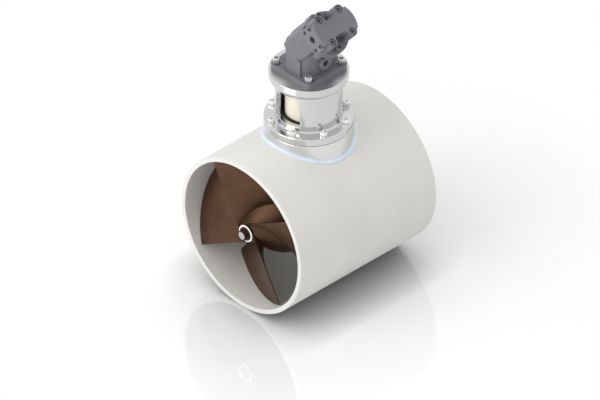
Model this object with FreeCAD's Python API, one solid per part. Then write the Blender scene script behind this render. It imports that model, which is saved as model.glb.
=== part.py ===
import FreeCAD, Part
import os
from math import asin, atan, atan2, cos, degrees, pi, radians, sin, sqrt, tan
from FreeCAD import Vector

os.makedirs("parts", exist_ok=True)

# Underwater tunnel thruster. Millimetres. X runs along the tunnel, Z up the drive shaft.
# The origin is where the propeller's axis crosses the drive shaft's axis.

X_AXIS = Vector(1, 0, 0)
Y_AXIS = Vector(0, 1, 0)
Z_AXIS = Vector(0, 0, 1)
ORIGIN = Vector(0, 0, 0)

# Tunnel
TUNNEL_BORE_RADIUS = 200.0
TUNNEL_WALL = 12.0
TUNNEL_LENGTH = 466.0
TUNNEL_EDGE_ROUND = 1.5
TUNNEL_RADIUS = TUNNEL_BORE_RADIUS + TUNNEL_WALL

# Screws: thread radius, head radius, head height, socket across flats
M6 = (3.0, 5.0, 6.0, 5.0)
M8 = (4.0, 6.5, 8.0, 6.0)
M10 = (5.0, 8.0, 10.0, 8.0)
M12 = (6.0, 9.0, 12.0, 10.0)
HEAD_CLEARANCE = 1.0
HOLE_CLEARANCE = 0.5
THREAD_END_GAP = 2.0

# Bevel gears: apex at the origin
GEAR_MODULE = 5.0
PINION_TEETH = 15
GEAR_TEETH = 26
TOOTH_FACE = 22.0
TOOTH_BACKLASH = 0.35
PRESSURE_ANGLE = radians(20.0)
PINION_CONE = atan2(PINION_TEETH, GEAR_TEETH)
GEAR_CONE = pi / 2 - PINION_CONE
CONE_DISTANCE = GEAR_MODULE * PINION_TEETH / (2 * sin(PINION_CONE))
DEDENDUM = 1.25 * GEAR_MODULE
GEAR_BLANK_THICKNESS = 12.0
# Heights of the points of a tooth's outline, in modules above the pitch line
TOOTH_HEIGHTS = (-1.6, -0.75, -0.4, 0.0, 0.35, 0.7, 1.0)
GEAR_HUB_RADIUS = 36.0
GEAR_HUB_BACK = -70.0
GEAR_HUB_FRONT = -22.0
PINION_TOP = 76.0

# Propeller shaft, running from the propeller's end to the tail
SHAFT_END = -232.0
SHAFT_THREAD_RADIUS = 12.0
SHAFT_END_CHAMFER = 1.5
TAPER_FRONT = -209.0
TAPER_FRONT_RADIUS = 16.0
TAPER_BACK_RADIUS = 20.0
SEAL_JOURNAL_RADIUS = 25.0
GEAR_SEAT_RADIUS = 27.5
SHAFT_COLLAR_RADIUS = 31.0
SHAFT_COLLAR_WIDTH = 10.0
SHAFT_BODY_RADIUS = 24.0
TAIL_JOURNAL_RADIUS = 20.0

# Propeller
BLADES = 4
BLADE_TIP_CLEARANCE = 4.0
BLADE_TIP_RADIUS = TUNNEL_BORE_RADIUS - BLADE_TIP_CLEARANCE
BLADE_FRONT = -214.5
BLADE_LEADING_OFFSET = 22.4
BLADE_LEADING_ANGLE = -30.0
BLADE_TRAILING_ANGLE = 36.2
BLADE_ROOT_PITCH = 290.0
BLADE_PITCH_GROWTH = 0.88
BLADE_ROOT_THICKNESS = 15.0
BLADE_TIP_THICKNESS = 6.0
BLADE_EDGE_THICKNESS = 3.0
BLADE_ROOT_DEPTH = 0.6
BLADE_ROWS = 7
BLADE_ROW_BUNCHING = 1.5
BLADE_STATIONS = 10
HUB_FRONT = -210.5
HUB_BACK = -121.0
HUB_FRONT_RADIUS = 24.0
HUB_BACK_RADIUS = 94.0
HUB_WALL = 9.0
HUB_BOSS_BACK = -131.0
HUB_BOSS_RADIUS = 32.0
HUB_CORE_FRONT = -168.0
# Points of the hub's swelling outline, as shares of its length and of its growth
HUB_LINE = ((0, 0), (0.23, 0.23), (0.56, 0.63), (1, 1))
PROPELLER_WASHER_RADIUS = 23.0
PROPELLER_WASHER_THICKNESS = 3.5
PROPELLER_NUT_CORNER_RADIUS = 16.0
PROPELLER_NUT_LENGTH = 15.0
PROPELLER_NUT_NOSE = 3.0

# Gear leg: one casting with the gear housing, the strut and the plate under the tunnel's crown
POD_RADIUS = 100.0
POD_FRONT = -118.0
POD_FRONT_RADIUS = 95.0
POD_BACK = 105.0
POD_BACK_RADIUS = 97.0
POD_CAVITY_RADIUS = 78.0
POD_CAVITY_FRONT = -73.0
POD_SWELL = 0.5
STRUT_HALF_CHORD = 70.0
STRUT_HALF_WIDTH = 58.0
LEG_PLATE_RADIUS = 93.0
LEG_PLATE_THICKNESS = 16.0
LEG_GASKET = 2.0
LEG_NECK_RADIUS = 60.0
LEG_NECK_TOP = 232.0
LEG_NECK_FIT = 0.1
LEG_SCREWS = 6
LEG_SCREW_CIRCLE = 74.0
LEG_SCREW_SUNK = 14.0

# Propeller end: bearing carrier
CARRIER_RADIUS = 50.0
CARRIER_FLANGE_RADIUS = 70.0
CARRIER_FLANGE_THICKNESS = 11.0
CARRIER_BACK = -74.0
CARRIER_SCREWS = 6
CARRIER_SCREW_CIRCLE = 60.0
CARRIER_SCREW_LENGTH = 26.0
FRONT_BEARING_RADIUS = 45.0
BEARING_WIDTH = 25.0
FRONT_BEARING_BACK = -75.0
SEAL_RADIUS = 36.0
SEAL_WIDTH = 10.0
SEAL_SLEEVE_RADIUS = 28.0
SHOULDER_HEIGHT = 5.0
SEAL_SHELL = 1.5
SEAL_BODY_SHARE = 0.35

# Far end: tail cap
TAIL_LENGTH = 92.0
TAIL_WALL = 10.0
TAIL_SPIGOT_RADIUS = 80.0
TAIL_SPIGOT_FRONT = 82.0
TAIL_FLANGE_THICKNESS = 12.0
TAIL_BOSS_RADIUS = 50.0
REAR_BEARING_RADIUS = 40.0
REAR_BEARING_FRONT = 45.0
REAR_BEARING_WIDTH = 23.0
REAR_NUT_RADIUS = 27.0
REAR_NUT_WIDTH = 9.0
TAIL_SCREWS = 6
TAIL_SCREW_CIRCLE = 88.5
TAIL_SCREW_LENGTH = 30.0
DRAIN_PLUG_RADIUS = 9.0
DRAIN_PLUG_HEX = 8.0
DRAIN_PLUG_LENGTH = 18.0
DRAIN_PLUG_SUNK = 1.0

# Vertical drive: cartridge, shaft and its bearings
CARTRIDGE_RADIUS = 47.5
CARTRIDGE_FLANGE_RADIUS = 59.0
CARTRIDGE_FLANGE_THICKNESS = 8.0
CARTRIDGE_SCREWS = 6
CARTRIDGE_SCREW_CIRCLE = 53.5
CARTRIDGE_SCREW_LENGTH = 20.0
DRIVE_BEARING_RADIUS = 42.5
LOWER_BEARING_BOTTOM = 78.5
DRIVE_BEARING_WIDTH = 25.0
UPPER_BEARING_BOTTOM = 172.0
DRIVE_SHOULDER_RADIUS = 38.0
SNAP_RING_WIDTH = 2.5
SNAP_RING_DEPTH = 1.5
DRIVE_JOURNAL_RADIUS = 22.5
DRIVE_COLLAR_RADIUS = 27.0
DRIVE_SHAFT_RADIUS = 20.0
DRIVE_NUT_RADIUS = 30.0
DRIVE_NUT_WIDTH = 8.0
DRIVE_SPACER_RADIUS = 27.0
PINION_SEAT_RADIUS = 15.0
COUPLING_SEAT_RADIUS = 17.5
PINION_RETAINER_THICKNESS = 4.0
PINION_RETAINER_RADIUS = 20.0
PINION_SCREW_DEPTH = 20.0
ROLLER_GAP = 0.05
BEARING_ROLLERS = 10
BEARING_RING_SHARE = 0.14
ROLLER_MARGIN = 0.15
ROLLER_BITE = 1.04

# Seat, gasket and bell housing on the tunnel
SEALANT_BED = 1.5
SEALANT_BEAD_WIDTH = 7.0
SEALANT_BEAD_HEIGHT = 5.0
SEALANT_BEAD_ROUND = 3.5
SEAT_RADIUS = 112.5
SEAT_TOP = 235.0
SEAT_EDGE_ROUND = 1.5
BELL_GASKET = 1.0
BELL_BOTTOM = SEAT_TOP + BELL_GASKET
BELL_BASE_THICKNESS = 20.0
BELL_SCREW_TO_EDGE = 12.8
BELL_SCREW_CIRCLE = SEAT_RADIUS - BELL_SCREW_TO_EDGE
BELL_SCREW_TO_WALL = 15.7
BELL_RADIUS = BELL_SCREW_CIRCLE - BELL_SCREW_TO_WALL
BELL_WALL = 12.0
BELL_FOOT_FILLET = 6.0
BELL_EDGE_ROUND = 3.0
BELL_TOP = 395.0
BELL_TOP_OVERHANG = 16.3
BELL_TOP_RADIUS = BELL_RADIUS + BELL_TOP_OVERHANG
BELL_TOP_THICKNESS = 31.0
BELL_TOP_ROUND = 15.0
BELL_TOP_EDGE_ROUND = 1.5
BELL_LEDGE = 12.0
BELL_SCREWS = 8
BELL_SCREW_LENGTH = 41.0
WINDOW_HALF_ANGLE = 30.6
WINDOW_BOTTOM = 271.0
WINDOW_TOP = 356.0

# Coupling inside the bell housing
COUPLING_FLANGE_CLEARANCE = 3.0
COUPLING_FLANGE_RADIUS = BELL_RADIUS - BELL_WALL - COUPLING_FLANGE_CLEARANCE
COUPLING_FLANGE_RIM = 9.0
COUPLING_SLEEVE_RADIUS = COUPLING_FLANGE_RADIUS - COUPLING_FLANGE_RIM
COUPLING_SLEEVE_BOTTOM = 269.0
COUPLING_SLEEVE_TOP = 372.0
COUPLING_SLEEVE_CHAMFER = 1.5
COUPLING_FLANGE_THICKNESS = 10.0
COUPLING_FLANGE_GAP = 1.0
UPPER_HUB_BOSS = 8.0
COUPLING_BOSS_RADIUS = 32.0
COUPLING_SLEEVE_WALL = 10.0
COUPLING_LUG_REACH = COUPLING_SLEEVE_RADIUS - COUPLING_SLEEVE_WALL
COUPLING_LUG_HEIGHT = 6.0
COUPLING_CROWN_RADIUS = COUPLING_LUG_REACH - COUPLING_LUG_HEIGHT
COUPLING_LUG_WIDTH = 10.0
COUPLING_LUGS = 12
COUPLING_LUG_GAP = 0.3
COUPLING_CROWN_WIDTH = 26.0
LOWER_HUB_BOTTOM = 246.0

# Motor
FLANGE_SIDE = 140.0
FLANGE_CORNER = 12.0
FLANGE_THICKNESS = 17.0
PILOT_RADIUS = 62.5
PILOT_DEPTH = 8.0
MOTOR_SCREW_CIRCLE = 80.0
MOTOR_SCREW_LENGTH = 38.0
WASHER_RADIUS = 11.5
WASHER_THICKNESS = 2.5
MOTOR_FACE = BELL_TOP
MOTOR_NECK_HALF_WIDTH = 56.0
MOTOR_NECK_FRONT = 52.0
MOTOR_NECK_BACK = 46.0
MOTOR_NECK_ROUND = 35.0
MOTOR_HALF_WIDTH = 60.0
MOTOR_PAD_FRONT = 30.0
MOTOR_PAD_BACK = 20.0
MOTOR_NECK_RISE = 6.0
BEND_HEIGHT = 460.0
BEND_ANGLE = 40.0
BARREL_BACK = 55.0
BARREL_BACK_HALF_WIDTH = 13.0
BARREL_SIDE_BACK = 37.0
BARREL_FRONT = 22.0
BARREL_NOSE = -4.0
BARREL_END = 81.0
BARREL_ROUND = 10.0
BARREL_NOSE_ROUND = 3.0
CAP_START = 85.0
CAP_FLANGE_TOP = 100.0
CAP_END = 148.0
CAP_RADIUS = 62.0
CAP_HALF_DEPTH = 31.0
POCKET_HALF_WIDTH = 20.0
POCKET_FLOOR = 22.0
POCKET_ROUND = 9.0
CAP_SCREW_X = 34.0
CAP_SCREW_Y = 32.0
CAP_SCREW_SUNK = 14.0
CAP_SCREW_GRIP = 20.0
CAP_LUG_RADIUS = 13.0
CAP_LUG_START = 60.0
POCKET_SCREW_Y = 46.0
PORT_AT = 115.0
PORT_RADIUS = 9.5
PORT_DEPTH = 34.0
PORT_FACE = MOTOR_HALF_WIDTH
PORT_PAD_HALF_DEPTH = 35.0
PORT_PAD_HALF_LENGTH = 18.0
PORT_PAD_ROUND = 7.0
PORT_BOLT_ALONG = 11.9
PORT_BOLT_ACROSS = 25.4
PORT_BOLT_DEPTH = 20.0
DRAIN_HEIGHT = 440.0
DRAIN_FACE = -60.0
DRAIN_BOSS_RADIUS = 18.0
DRAIN_PORT_RADIUS = 8.7
DRAIN_PORT_DEPTH = 16.0
MOTOR_SHAFT_BOTTOM = 328.0
MOTOR_SEAL_RADIUS = 31.0
MOTOR_SEAL_WIDTH = 8.0
MOTOR_JOURNAL_RADIUS = 22.0
MOTOR_BEARING_RADIUS = 38.0
MOTOR_BEARING_WIDTH = 20.0
MOTOR_SHAFT_TOP = 424.0

# Keys: width, height
PROPELLER_KEY = (10.0, 9.0)
PROPELLER_KEY_ENDS = (-190.0, -145.0)
GEAR_KEY = (14.0, 9.0)
GEAR_KEY_LENGTH = 36.0
PINION_KEY = (8.0, 7.0)
PINION_KEY_ENDS = (52.0, 72.0)
HUB_KEY = (10.0, 8.0)
HUB_KEY_LENGTH = 32.0

O_RING = 3.0
O_RING_DEPTH = 2.4


def save(name, shape):
    """Writes one sub-part."""
    shape.exportStep("parts/" + name + ".step")


def rod(radius, start, end, axis=Z_AXIS, centre=ORIGIN):
    """A cylinder between two stations on an axis."""
    return Part.makeCylinder(radius, end - start, centre + axis * start, axis)


def ring(outer, inner, start, end, axis=Z_AXIS, centre=ORIGIN):
    """A tube between two stations on an axis."""
    return rod(outer, start, end, axis, centre).cut(rod(inner, start, end, axis, centre))


def box(x, y, z):
    """A block from its three ranges."""
    return Part.makeBox(x[1] - x[0], y[1] - y[0], z[1] - z[0], Vector(x[0], y[0], z[0]))


def turned(outline, axis=Z_AXIS):
    """A solid of revolution from a closed outline of (station, radius) points."""
    side = X_AXIS if axis == Z_AXIS else Z_AXIS
    points = [axis * along + side * radius for along, radius in outline]
    face = Part.Face(Part.makePolygon(points + points[:1]))
    return face.revolve(ORIGIN, axis, 360)


def around(shape, count, axis=Z_AXIS, first=0.0):
    """Evenly spaced copies about an axis through the origin."""
    copies = []
    for index in range(count):
        copy = shape.copy()
        copy.rotate(ORIGIN, axis, first + index * 360.0 / count)
        copies.append(copy)
    return copies


def socket_screw(size, length, under_head=ORIGIN, direction=Z_AXIS):
    """A socket cap screw. The direction points out of its head."""
    thread, head, height, flats = size
    body = Part.makeCylinder(head, height).fuse(rod(thread, -length, 0))
    corner = flats / sqrt(3)
    hexagon = Part.Face(Part.makePolygon(
        [Vector(corner * cos(pi * k / 3), corner * sin(pi * k / 3), height / 2) for k in range(7)]))
    body = body.cut(hexagon.extrude(Z_AXIS * height)).removeSplitter()
    rim = [edge for edge in body.Edges if abs(edge.Length - 2 * pi * head) < 0.01
           and abs(edge.CenterOfMass.z - height) < 0.01]
    body = body.makeChamfer(height / 12, rim)
    body.Placement = FreeCAD.Placement(under_head, FreeCAD.Rotation(Z_AXIS, direction))
    return body


def rims_at(shape, height):
    """The level edges of a shape at one height."""
    return [edge for edge in shape.Edges if abs(edge.CenterOfMass.z - height) < 0.01]


def tunnel_skin(radius):
    """A solid cylinder along the tunnel, long enough to trim what sits on its crown."""
    return rod(radius, -TUNNEL_LENGTH / 2, TUNNEL_LENGTH / 2, X_AXIS)


# Tunnel, sealant and seat

def make_tunnel():
    tube = ring(TUNNEL_RADIUS, TUNNEL_BORE_RADIUS, -TUNNEL_LENGTH / 2, TUNNEL_LENGTH / 2, X_AXIS)
    rims = [edge for edge in tube.Edges if edge.BoundBox.XLength < 0.01]
    tube = tube.makeFillet(TUNNEL_EDGE_ROUND, rims)
    tube = tube.cut(rod(LEG_NECK_RADIUS + HOLE_CLEARANCE, 0, TUNNEL_RADIUS))
    return tube.cut(leg_screw_holes())


def leg_screw_holes():
    hole = rod(M12[0] + HOLE_CLEARANCE, 0, SEAT_TOP, centre=X_AXIS * LEG_SCREW_CIRCLE)
    return Part.makeCompound(around(hole, LEG_SCREWS, first=180.0 / LEG_SCREWS))


def make_sealant():
    outside = tunnel_skin(TUNNEL_RADIUS)
    bed = rod(SEAT_RADIUS, 0, SEAT_TOP).common(tunnel_skin(TUNNEL_RADIUS + SEALANT_BED)).cut(outside)
    bed = bed.cut(rod(LEG_NECK_RADIUS + HOLE_CLEARANCE, 0, SEAT_TOP)).cut(leg_screw_holes())
    bead = ring(SEAT_RADIUS + SEALANT_BEAD_WIDTH, SEAT_RADIUS, 0, SEAT_TOP)
    bead = bead.common(tunnel_skin(TUNNEL_RADIUS + SEALANT_BEAD_HEIGHT)).cut(outside)
    upper = [half for half in (bed.fuse(bead)).removeSplitter().Solids if half.CenterOfMass.z > 0]
    sealant = upper[0]
    top = [edge for edge in sealant.Edges if bead_shoulder(edge)]
    return sealant.makeFillet(SEALANT_BEAD_ROUND, top)


def bead_shoulder(edge):
    """True for the bead's upper outer edge."""
    radius = sqrt(edge.Vertexes[0].X ** 2 + edge.Vertexes[0].Y ** 2)
    height = sqrt(edge.Vertexes[0].Y ** 2 + edge.Vertexes[0].Z ** 2)
    outer = abs(radius - SEAT_RADIUS - SEALANT_BEAD_WIDTH) < 0.1
    return outer and abs(height - TUNNEL_RADIUS - SEALANT_BEAD_HEIGHT) < 0.1 and edge.Length > 20


def make_seat():
    seat = rod(SEAT_RADIUS, 0, SEAT_TOP).cut(tunnel_skin(TUNNEL_RADIUS + SEALANT_BED))
    seat = seat.makeFillet(SEAT_EDGE_ROUND, rims_at(seat, SEAT_TOP))
    seat = seat.cut(rod(LEG_NECK_RADIUS, 0, SEAT_TOP)).cut(leg_screw_holes())
    sink = rod(M12[1] + HEAD_CLEARANCE, SEAT_TOP - LEG_SCREW_SUNK, SEAT_TOP, centre=X_AXIS * LEG_SCREW_CIRCLE)
    thread_bottom = BELL_BOTTOM + BELL_BASE_THICKNESS - BELL_SCREW_LENGTH - THREAD_END_GAP / 2
    thread = rod(M12[0], thread_bottom, SEAT_TOP, centre=X_AXIS * BELL_SCREW_CIRCLE)
    seat = seat.cut(Part.makeCompound(around(sink, LEG_SCREWS, first=180.0 / LEG_SCREWS)))
    return seat.cut(Part.makeCompound(around(thread, BELL_SCREWS, first=180.0 / BELL_SCREWS)))


def make_leg_screws():
    screws = []
    for index in range(LEG_SCREWS):
        angle = radians((index + 0.5) * 360.0 / LEG_SCREWS)
        x, y = LEG_SCREW_CIRCLE * cos(angle), LEG_SCREW_CIRCLE * sin(angle)
        under_head = SEAT_TOP - LEG_SCREW_SUNK
        length = under_head - sqrt(leg_plate_inside() ** 2 - y ** 2) - THREAD_END_GAP
        screws.append(socket_screw(M12, length, Vector(x, y, under_head)))
    return Part.makeCompound(screws)


# Bell housing

def make_bell_gasket():
    gasket = ring(SEAT_RADIUS - SEAT_EDGE_ROUND, BELL_RADIUS - BELL_WALL, SEAT_TOP, BELL_BOTTOM)
    hole = rod(M12[0] + HOLE_CLEARANCE, SEAT_TOP, BELL_BOTTOM, centre=X_AXIS * BELL_SCREW_CIRCLE)
    return gasket.cut(Part.makeCompound(around(hole, BELL_SCREWS, first=180.0 / BELL_SCREWS)))


def make_bell():
    base_top = BELL_BOTTOM + BELL_BASE_THICKNESS
    bell = rod(SEAT_RADIUS, BELL_BOTTOM, base_top)
    bell = bell.makeFillet(BELL_EDGE_ROUND, rims_at(bell, base_top))
    bell = bell.makeFillet(SEAT_EDGE_ROUND, rims_at(bell, BELL_BOTTOM))
    bell = bell.fuse(rod(BELL_RADIUS, base_top, BELL_TOP)).removeSplitter()
    foot = [edge for edge in rims_at(bell, base_top) if abs(edge.Length - 2 * pi * BELL_RADIUS) < 0.1]
    bell = bell.makeFillet(BELL_FOOT_FILLET, foot)
    bell = bell.fuse(bell_top()).removeSplitter()
    bell = bell.cut(rod(BELL_RADIUS - BELL_WALL, BELL_BOTTOM, BELL_TOP - BELL_LEDGE))
    bell = bell.cut(rod(PILOT_RADIUS, BELL_BOTTOM, BELL_TOP))
    bell = bell.cut(bell_windows())
    hole = rod(M12[0] + HOLE_CLEARANCE, BELL_BOTTOM, base_top, centre=X_AXIS * BELL_SCREW_CIRCLE)
    bell = bell.cut(Part.makeCompound(around(hole, BELL_SCREWS, first=180.0 / BELL_SCREWS)))
    depth = MOTOR_SCREW_LENGTH - FLANGE_THICKNESS - WASHER_THICKNESS + THREAD_END_GAP
    thread = rod(M12[0], BELL_TOP - depth, BELL_TOP, centre=X_AXIS * MOTOR_SCREW_CIRCLE)
    return bell.cut(Part.makeCompound(around(thread, 4, first=45.0)))


def bell_top():
    """The motor flange of the bell: a straight rim over a well rounded underside."""
    top = rod(BELL_TOP_RADIUS, BELL_TOP - BELL_TOP_THICKNESS, BELL_TOP)
    top = top.makeFillet(BELL_TOP_ROUND, rims_at(top, BELL_TOP - BELL_TOP_THICKNESS))
    return top.makeFillet(BELL_TOP_EDGE_ROUND, rims_at(top, BELL_TOP))


def bell_windows():
    """Two openings on the tunnel's axis, one to each side."""
    reach = BELL_TOP_RADIUS + BELL_WALL
    sector = Part.makeCylinder(reach, WINDOW_TOP - WINDOW_BOTTOM, Vector(0, 0, WINDOW_BOTTOM), Z_AXIS,
                               2 * WINDOW_HALF_ANGLE)
    sector.rotate(ORIGIN, Z_AXIS, 180 - WINDOW_HALF_ANGLE)
    return Part.makeCompound(around(sector, 2))


def make_bell_screws():
    under_head = Vector(BELL_SCREW_CIRCLE, 0, BELL_BOTTOM + BELL_BASE_THICKNESS)
    screw = socket_screw(M12, BELL_SCREW_LENGTH, under_head)
    return Part.makeCompound(around(screw, BELL_SCREWS, first=180.0 / BELL_SCREWS))


# Gear leg

def leg_plate_outside():
    return TUNNEL_BORE_RADIUS - LEG_GASKET


def leg_plate_inside():
    return leg_plate_outside() - LEG_PLATE_THICKNESS


def make_leg_gasket():
    gasket = rod(LEG_PLATE_RADIUS, 0, TUNNEL_RADIUS).common(tunnel_skin(TUNNEL_BORE_RADIUS))
    gasket = gasket.cut(tunnel_skin(leg_plate_outside()))
    return gasket.cut(rod(LEG_NECK_RADIUS, 0, TUNNEL_RADIUS)).cut(leg_screw_holes())


def pod_skin():
    """The gear housing's outside, a slightly barrelled body of revolution."""
    stations = [Vector(POD_FRONT, 0, POD_FRONT_RADIUS), Vector(-POD_RADIUS / 2, 0, POD_RADIUS - POD_SWELL),
                Vector(POD_RADIUS / 2, 0, POD_RADIUS), Vector(POD_BACK, 0, POD_BACK_RADIUS)]
    curve = Part.BSplineCurve()
    curve.interpolate(stations)
    rest = Part.makePolygon([stations[-1], Vector(POD_BACK, 0, 0), Vector(POD_FRONT, 0, 0), stations[0]])
    return Part.Face(Part.Wire([curve.toShape()] + rest.Edges)).revolve(ORIGIN, X_AXIS, 360)


def strut():
    """The strut between the pod and the plate, with an oval section along the flow."""
    oval = Part.Ellipse(Vector(0, 0, POD_RADIUS / 2), STRUT_HALF_CHORD, STRUT_HALF_WIDTH)
    column = Part.Face(Part.Wire(oval.toShape())).extrude(Z_AXIS * TUNNEL_BORE_RADIUS)
    return column.common(tunnel_skin(leg_plate_outside()))


def make_gear_leg():
    plate = rod(LEG_PLATE_RADIUS, 0, TUNNEL_RADIUS).common(tunnel_skin(leg_plate_outside()))
    plate = plate.cut(tunnel_skin(leg_plate_inside()))
    neck = rod(LEG_NECK_RADIUS - LEG_NECK_FIT, leg_plate_inside() - LEG_PLATE_THICKNESS, LEG_NECK_TOP)
    leg = pod_skin().fuse([strut(), plate, neck])
    leg = leg.cut(rod(POD_CAVITY_RADIUS, POD_CAVITY_FRONT, POD_BACK, X_AXIS))
    leg = leg.cut(rod(TAIL_SPIGOT_RADIUS, TAIL_SPIGOT_FRONT, POD_BACK, X_AXIS))
    leg = leg.cut(rod(CARRIER_RADIUS, POD_FRONT, POD_CAVITY_FRONT, X_AXIS))
    leg = leg.cut(rod(CARTRIDGE_RADIUS, 0, LEG_NECK_TOP))
    thread = rod(M12[0], 0, TUNNEL_RADIUS, centre=X_AXIS * LEG_SCREW_CIRCLE)
    threads = Part.makeCompound(around(thread, LEG_SCREWS, first=180.0 / LEG_SCREWS))
    leg = leg.cut(threads.cut(rod(POD_RADIUS + LEG_PLATE_THICKNESS, -POD_BACK, POD_BACK, X_AXIS)))
    carrier_depth = CARRIER_SCREW_LENGTH - CARRIER_FLANGE_THICKNESS + THREAD_END_GAP
    tail_depth = TAIL_SCREW_LENGTH - TAIL_FLANGE_THICKNESS + THREAD_END_GAP
    cartridge_depth = CARTRIDGE_SCREW_LENGTH - CARTRIDGE_FLANGE_THICKNESS + THREAD_END_GAP
    leg = leg.cut(screw_threads(M10, CARRIER_SCREWS, CARRIER_SCREW_CIRCLE, POD_FRONT,
                                POD_FRONT + carrier_depth, X_AXIS))
    leg = leg.cut(screw_threads(M8, TAIL_SCREWS, TAIL_SCREW_CIRCLE, POD_BACK - tail_depth, POD_BACK, X_AXIS))
    leg = leg.cut(screw_threads(M6, CARTRIDGE_SCREWS, CARTRIDGE_SCREW_CIRCLE,
                                LEG_NECK_TOP - cartridge_depth, LEG_NECK_TOP, Z_AXIS))
    return leg.removeSplitter()


def screw_threads(size, count, circle, start, end, axis, clearance=0.0):
    """A circle of screw holes about an axis."""
    side = X_AXIS if axis == Z_AXIS else Z_AXIS
    hole = rod(size[0] + clearance, start, end, axis, side * circle)
    return Part.makeCompound(around(hole, count, axis, 180.0 / count))


# Bevel gears

def tooth_outline(teeth, cone):
    """Half-widths of an involute tooth at steps of height, as (height, angle about the gear's axis)."""
    pitch_radius = GEAR_MODULE * teeth / 2
    back_radius = pitch_radius / cos(cone)
    base_radius = back_radius * cos(PRESSURE_ANGLE)
    involute = tan(PRESSURE_ANGLE) - PRESSURE_ANGLE
    backlash_angle = TOOTH_BACKLASH / 2 / back_radius
    outline = []
    for step in TOOTH_HEIGHTS:
        height = step * GEAR_MODULE
        radius = max(back_radius + height, base_radius)
        pressure = atan(sqrt(max((radius / base_radius) ** 2 - 1, 0)))
        half = pi * pitch_radius / teeth / 2 / back_radius - backlash_angle
        half += involute - (tan(pressure) - pressure)
        axis_distance = pitch_radius + height * cos(cone)
        outline.append((height, half * (back_radius + height) / axis_distance))
    return outline


def tooth_point(height, angle, cone, scale):
    """A point on the back cone, measured with the gear's axis as Z and its apex at the origin."""
    radius = CONE_DISTANCE * sin(cone) + height * cos(cone)
    along = CONE_DISTANCE * cos(cone) - height * sin(cone)
    return Vector(radius * cos(angle), radius * sin(angle), along) * scale


def bevel_tooth(teeth, cone):
    """One tooth: its outline on the back cone drawn in towards the apex."""
    outline = tooth_outline(teeth, cone)
    wires = []
    for scale in (1.0, 1 - TOOTH_FACE / CONE_DISTANCE):
        up = [tooth_point(height, -half, cone, scale) for height, half in outline]
        down = [tooth_point(height, half, cone, scale) for height, half in reversed(outline)]
        wires.append(up + down)
    outer, inner = wires
    faces = [Part.Face(Part.makePolygon([outer[k], outer[k + 1], inner[k + 1], inner[k], outer[k]]))
             for k in range(-1, len(outer) - 1)]
    count = len(outline)
    for wire in wires:
        for k in range(count - 1):
            corners = [wire[k], wire[k + 1], wire[-2 - k], wire[-1 - k], wire[k]]
            faces.append(Part.Face(Part.makePolygon(corners)))
    tooth = Part.Solid(Part.Shell(faces))
    if tooth.Volume < 0:
        tooth.reverse()
    return tooth


def bevel_blank(cone, behind, front, bore, hub_radius):
    """The gear's body up to the roots of its teeth, as an outline about its own axis."""
    inner = 1 - TOOTH_FACE / CONE_DISTANCE
    root_radius = CONE_DISTANCE * sin(cone) - DEDENDUM * cos(cone)
    root_along = CONE_DISTANCE * cos(cone) + DEDENDUM * sin(cone)
    back_radius = root_radius - GEAR_BLANK_THICKNESS * cos(cone)
    back_along = root_along + GEAR_BLANK_THICKNESS * sin(cone)
    outline = [(root_along, root_radius), (root_along * inner, root_radius * inner)]
    if root_radius * inner > hub_radius:
        outline += [(front, hub_radius)]
    outline += [(front, bore), (behind, bore)]
    if back_radius > hub_radius and back_along < behind:
        outline += [(behind, hub_radius), (back_along, hub_radius)]
    outline += [(back_along, back_radius)]
    return turned(outline)


def bevel_gear_shape(teeth, cone, behind, front, bore, hub_radius, first):
    tooth = bevel_tooth(teeth, cone)
    blank = bevel_blank(cone, behind, front, bore, hub_radius)
    return blank.fuse(around(tooth, teeth, first=first)).removeSplitter()


def make_bevel_gear():
    gear = bevel_gear_shape(GEAR_TEETH, GEAR_CONE, -GEAR_HUB_BACK, -GEAR_HUB_FRONT, GEAR_SEAT_RADIUS,
                            GEAR_HUB_RADIUS, 180.0 / GEAR_TEETH)
    gear.rotate(ORIGIN, Y_AXIS, -90)
    return gear.cut(gear_key_shape())


def make_bevel_pinion():
    pinion = bevel_gear_shape(PINION_TEETH, PINION_CONE, PINION_TOP, pinion_front(), PINION_SEAT_RADIUS,
                              PINION_SEAT_RADIUS + SHOULDER_HEIGHT, 180.0)
    return pinion.cut(pinion_key_shape())


# Propeller shaft and what it carries

def taper_radius(station):
    """Radius of the propeller's taper at a station along the shaft."""
    share = (station - TAPER_FRONT) / (HUB_BOSS_BACK - TAPER_FRONT)
    return TAPER_FRONT_RADIUS + share * (TAPER_BACK_RADIUS - TAPER_FRONT_RADIUS)


def rear_nut_end():
    return REAR_BEARING_FRONT + REAR_BEARING_WIDTH + REAR_NUT_WIDTH


def make_propeller_shaft():
    collar_end = GEAR_HUB_FRONT + SHAFT_COLLAR_WIDTH
    end = rear_nut_end() + THREAD_END_GAP
    shaft = turned([
        (SHAFT_END, 0), (SHAFT_END, SHAFT_THREAD_RADIUS - SHAFT_END_CHAMFER),
        (SHAFT_END + SHAFT_END_CHAMFER, SHAFT_THREAD_RADIUS), (TAPER_FRONT, SHAFT_THREAD_RADIUS),
        (TAPER_FRONT, TAPER_FRONT_RADIUS), (HUB_BOSS_BACK, TAPER_BACK_RADIUS),
        (HUB_BOSS_BACK, SEAL_JOURNAL_RADIUS), (FRONT_BEARING_BACK, SEAL_JOURNAL_RADIUS),
        (FRONT_BEARING_BACK, GEAR_SEAT_RADIUS), (GEAR_HUB_FRONT, GEAR_SEAT_RADIUS),
        (GEAR_HUB_FRONT, SHAFT_COLLAR_RADIUS), (collar_end, SHAFT_COLLAR_RADIUS),
        (collar_end, SHAFT_BODY_RADIUS), (REAR_BEARING_FRONT, SHAFT_BODY_RADIUS),
        (REAR_BEARING_FRONT, TAIL_JOURNAL_RADIUS), (end, TAIL_JOURNAL_RADIUS), (end, 0)], X_AXIS)
    return shaft.cut(propeller_key_shape()).cut(gear_key_shape())


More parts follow.
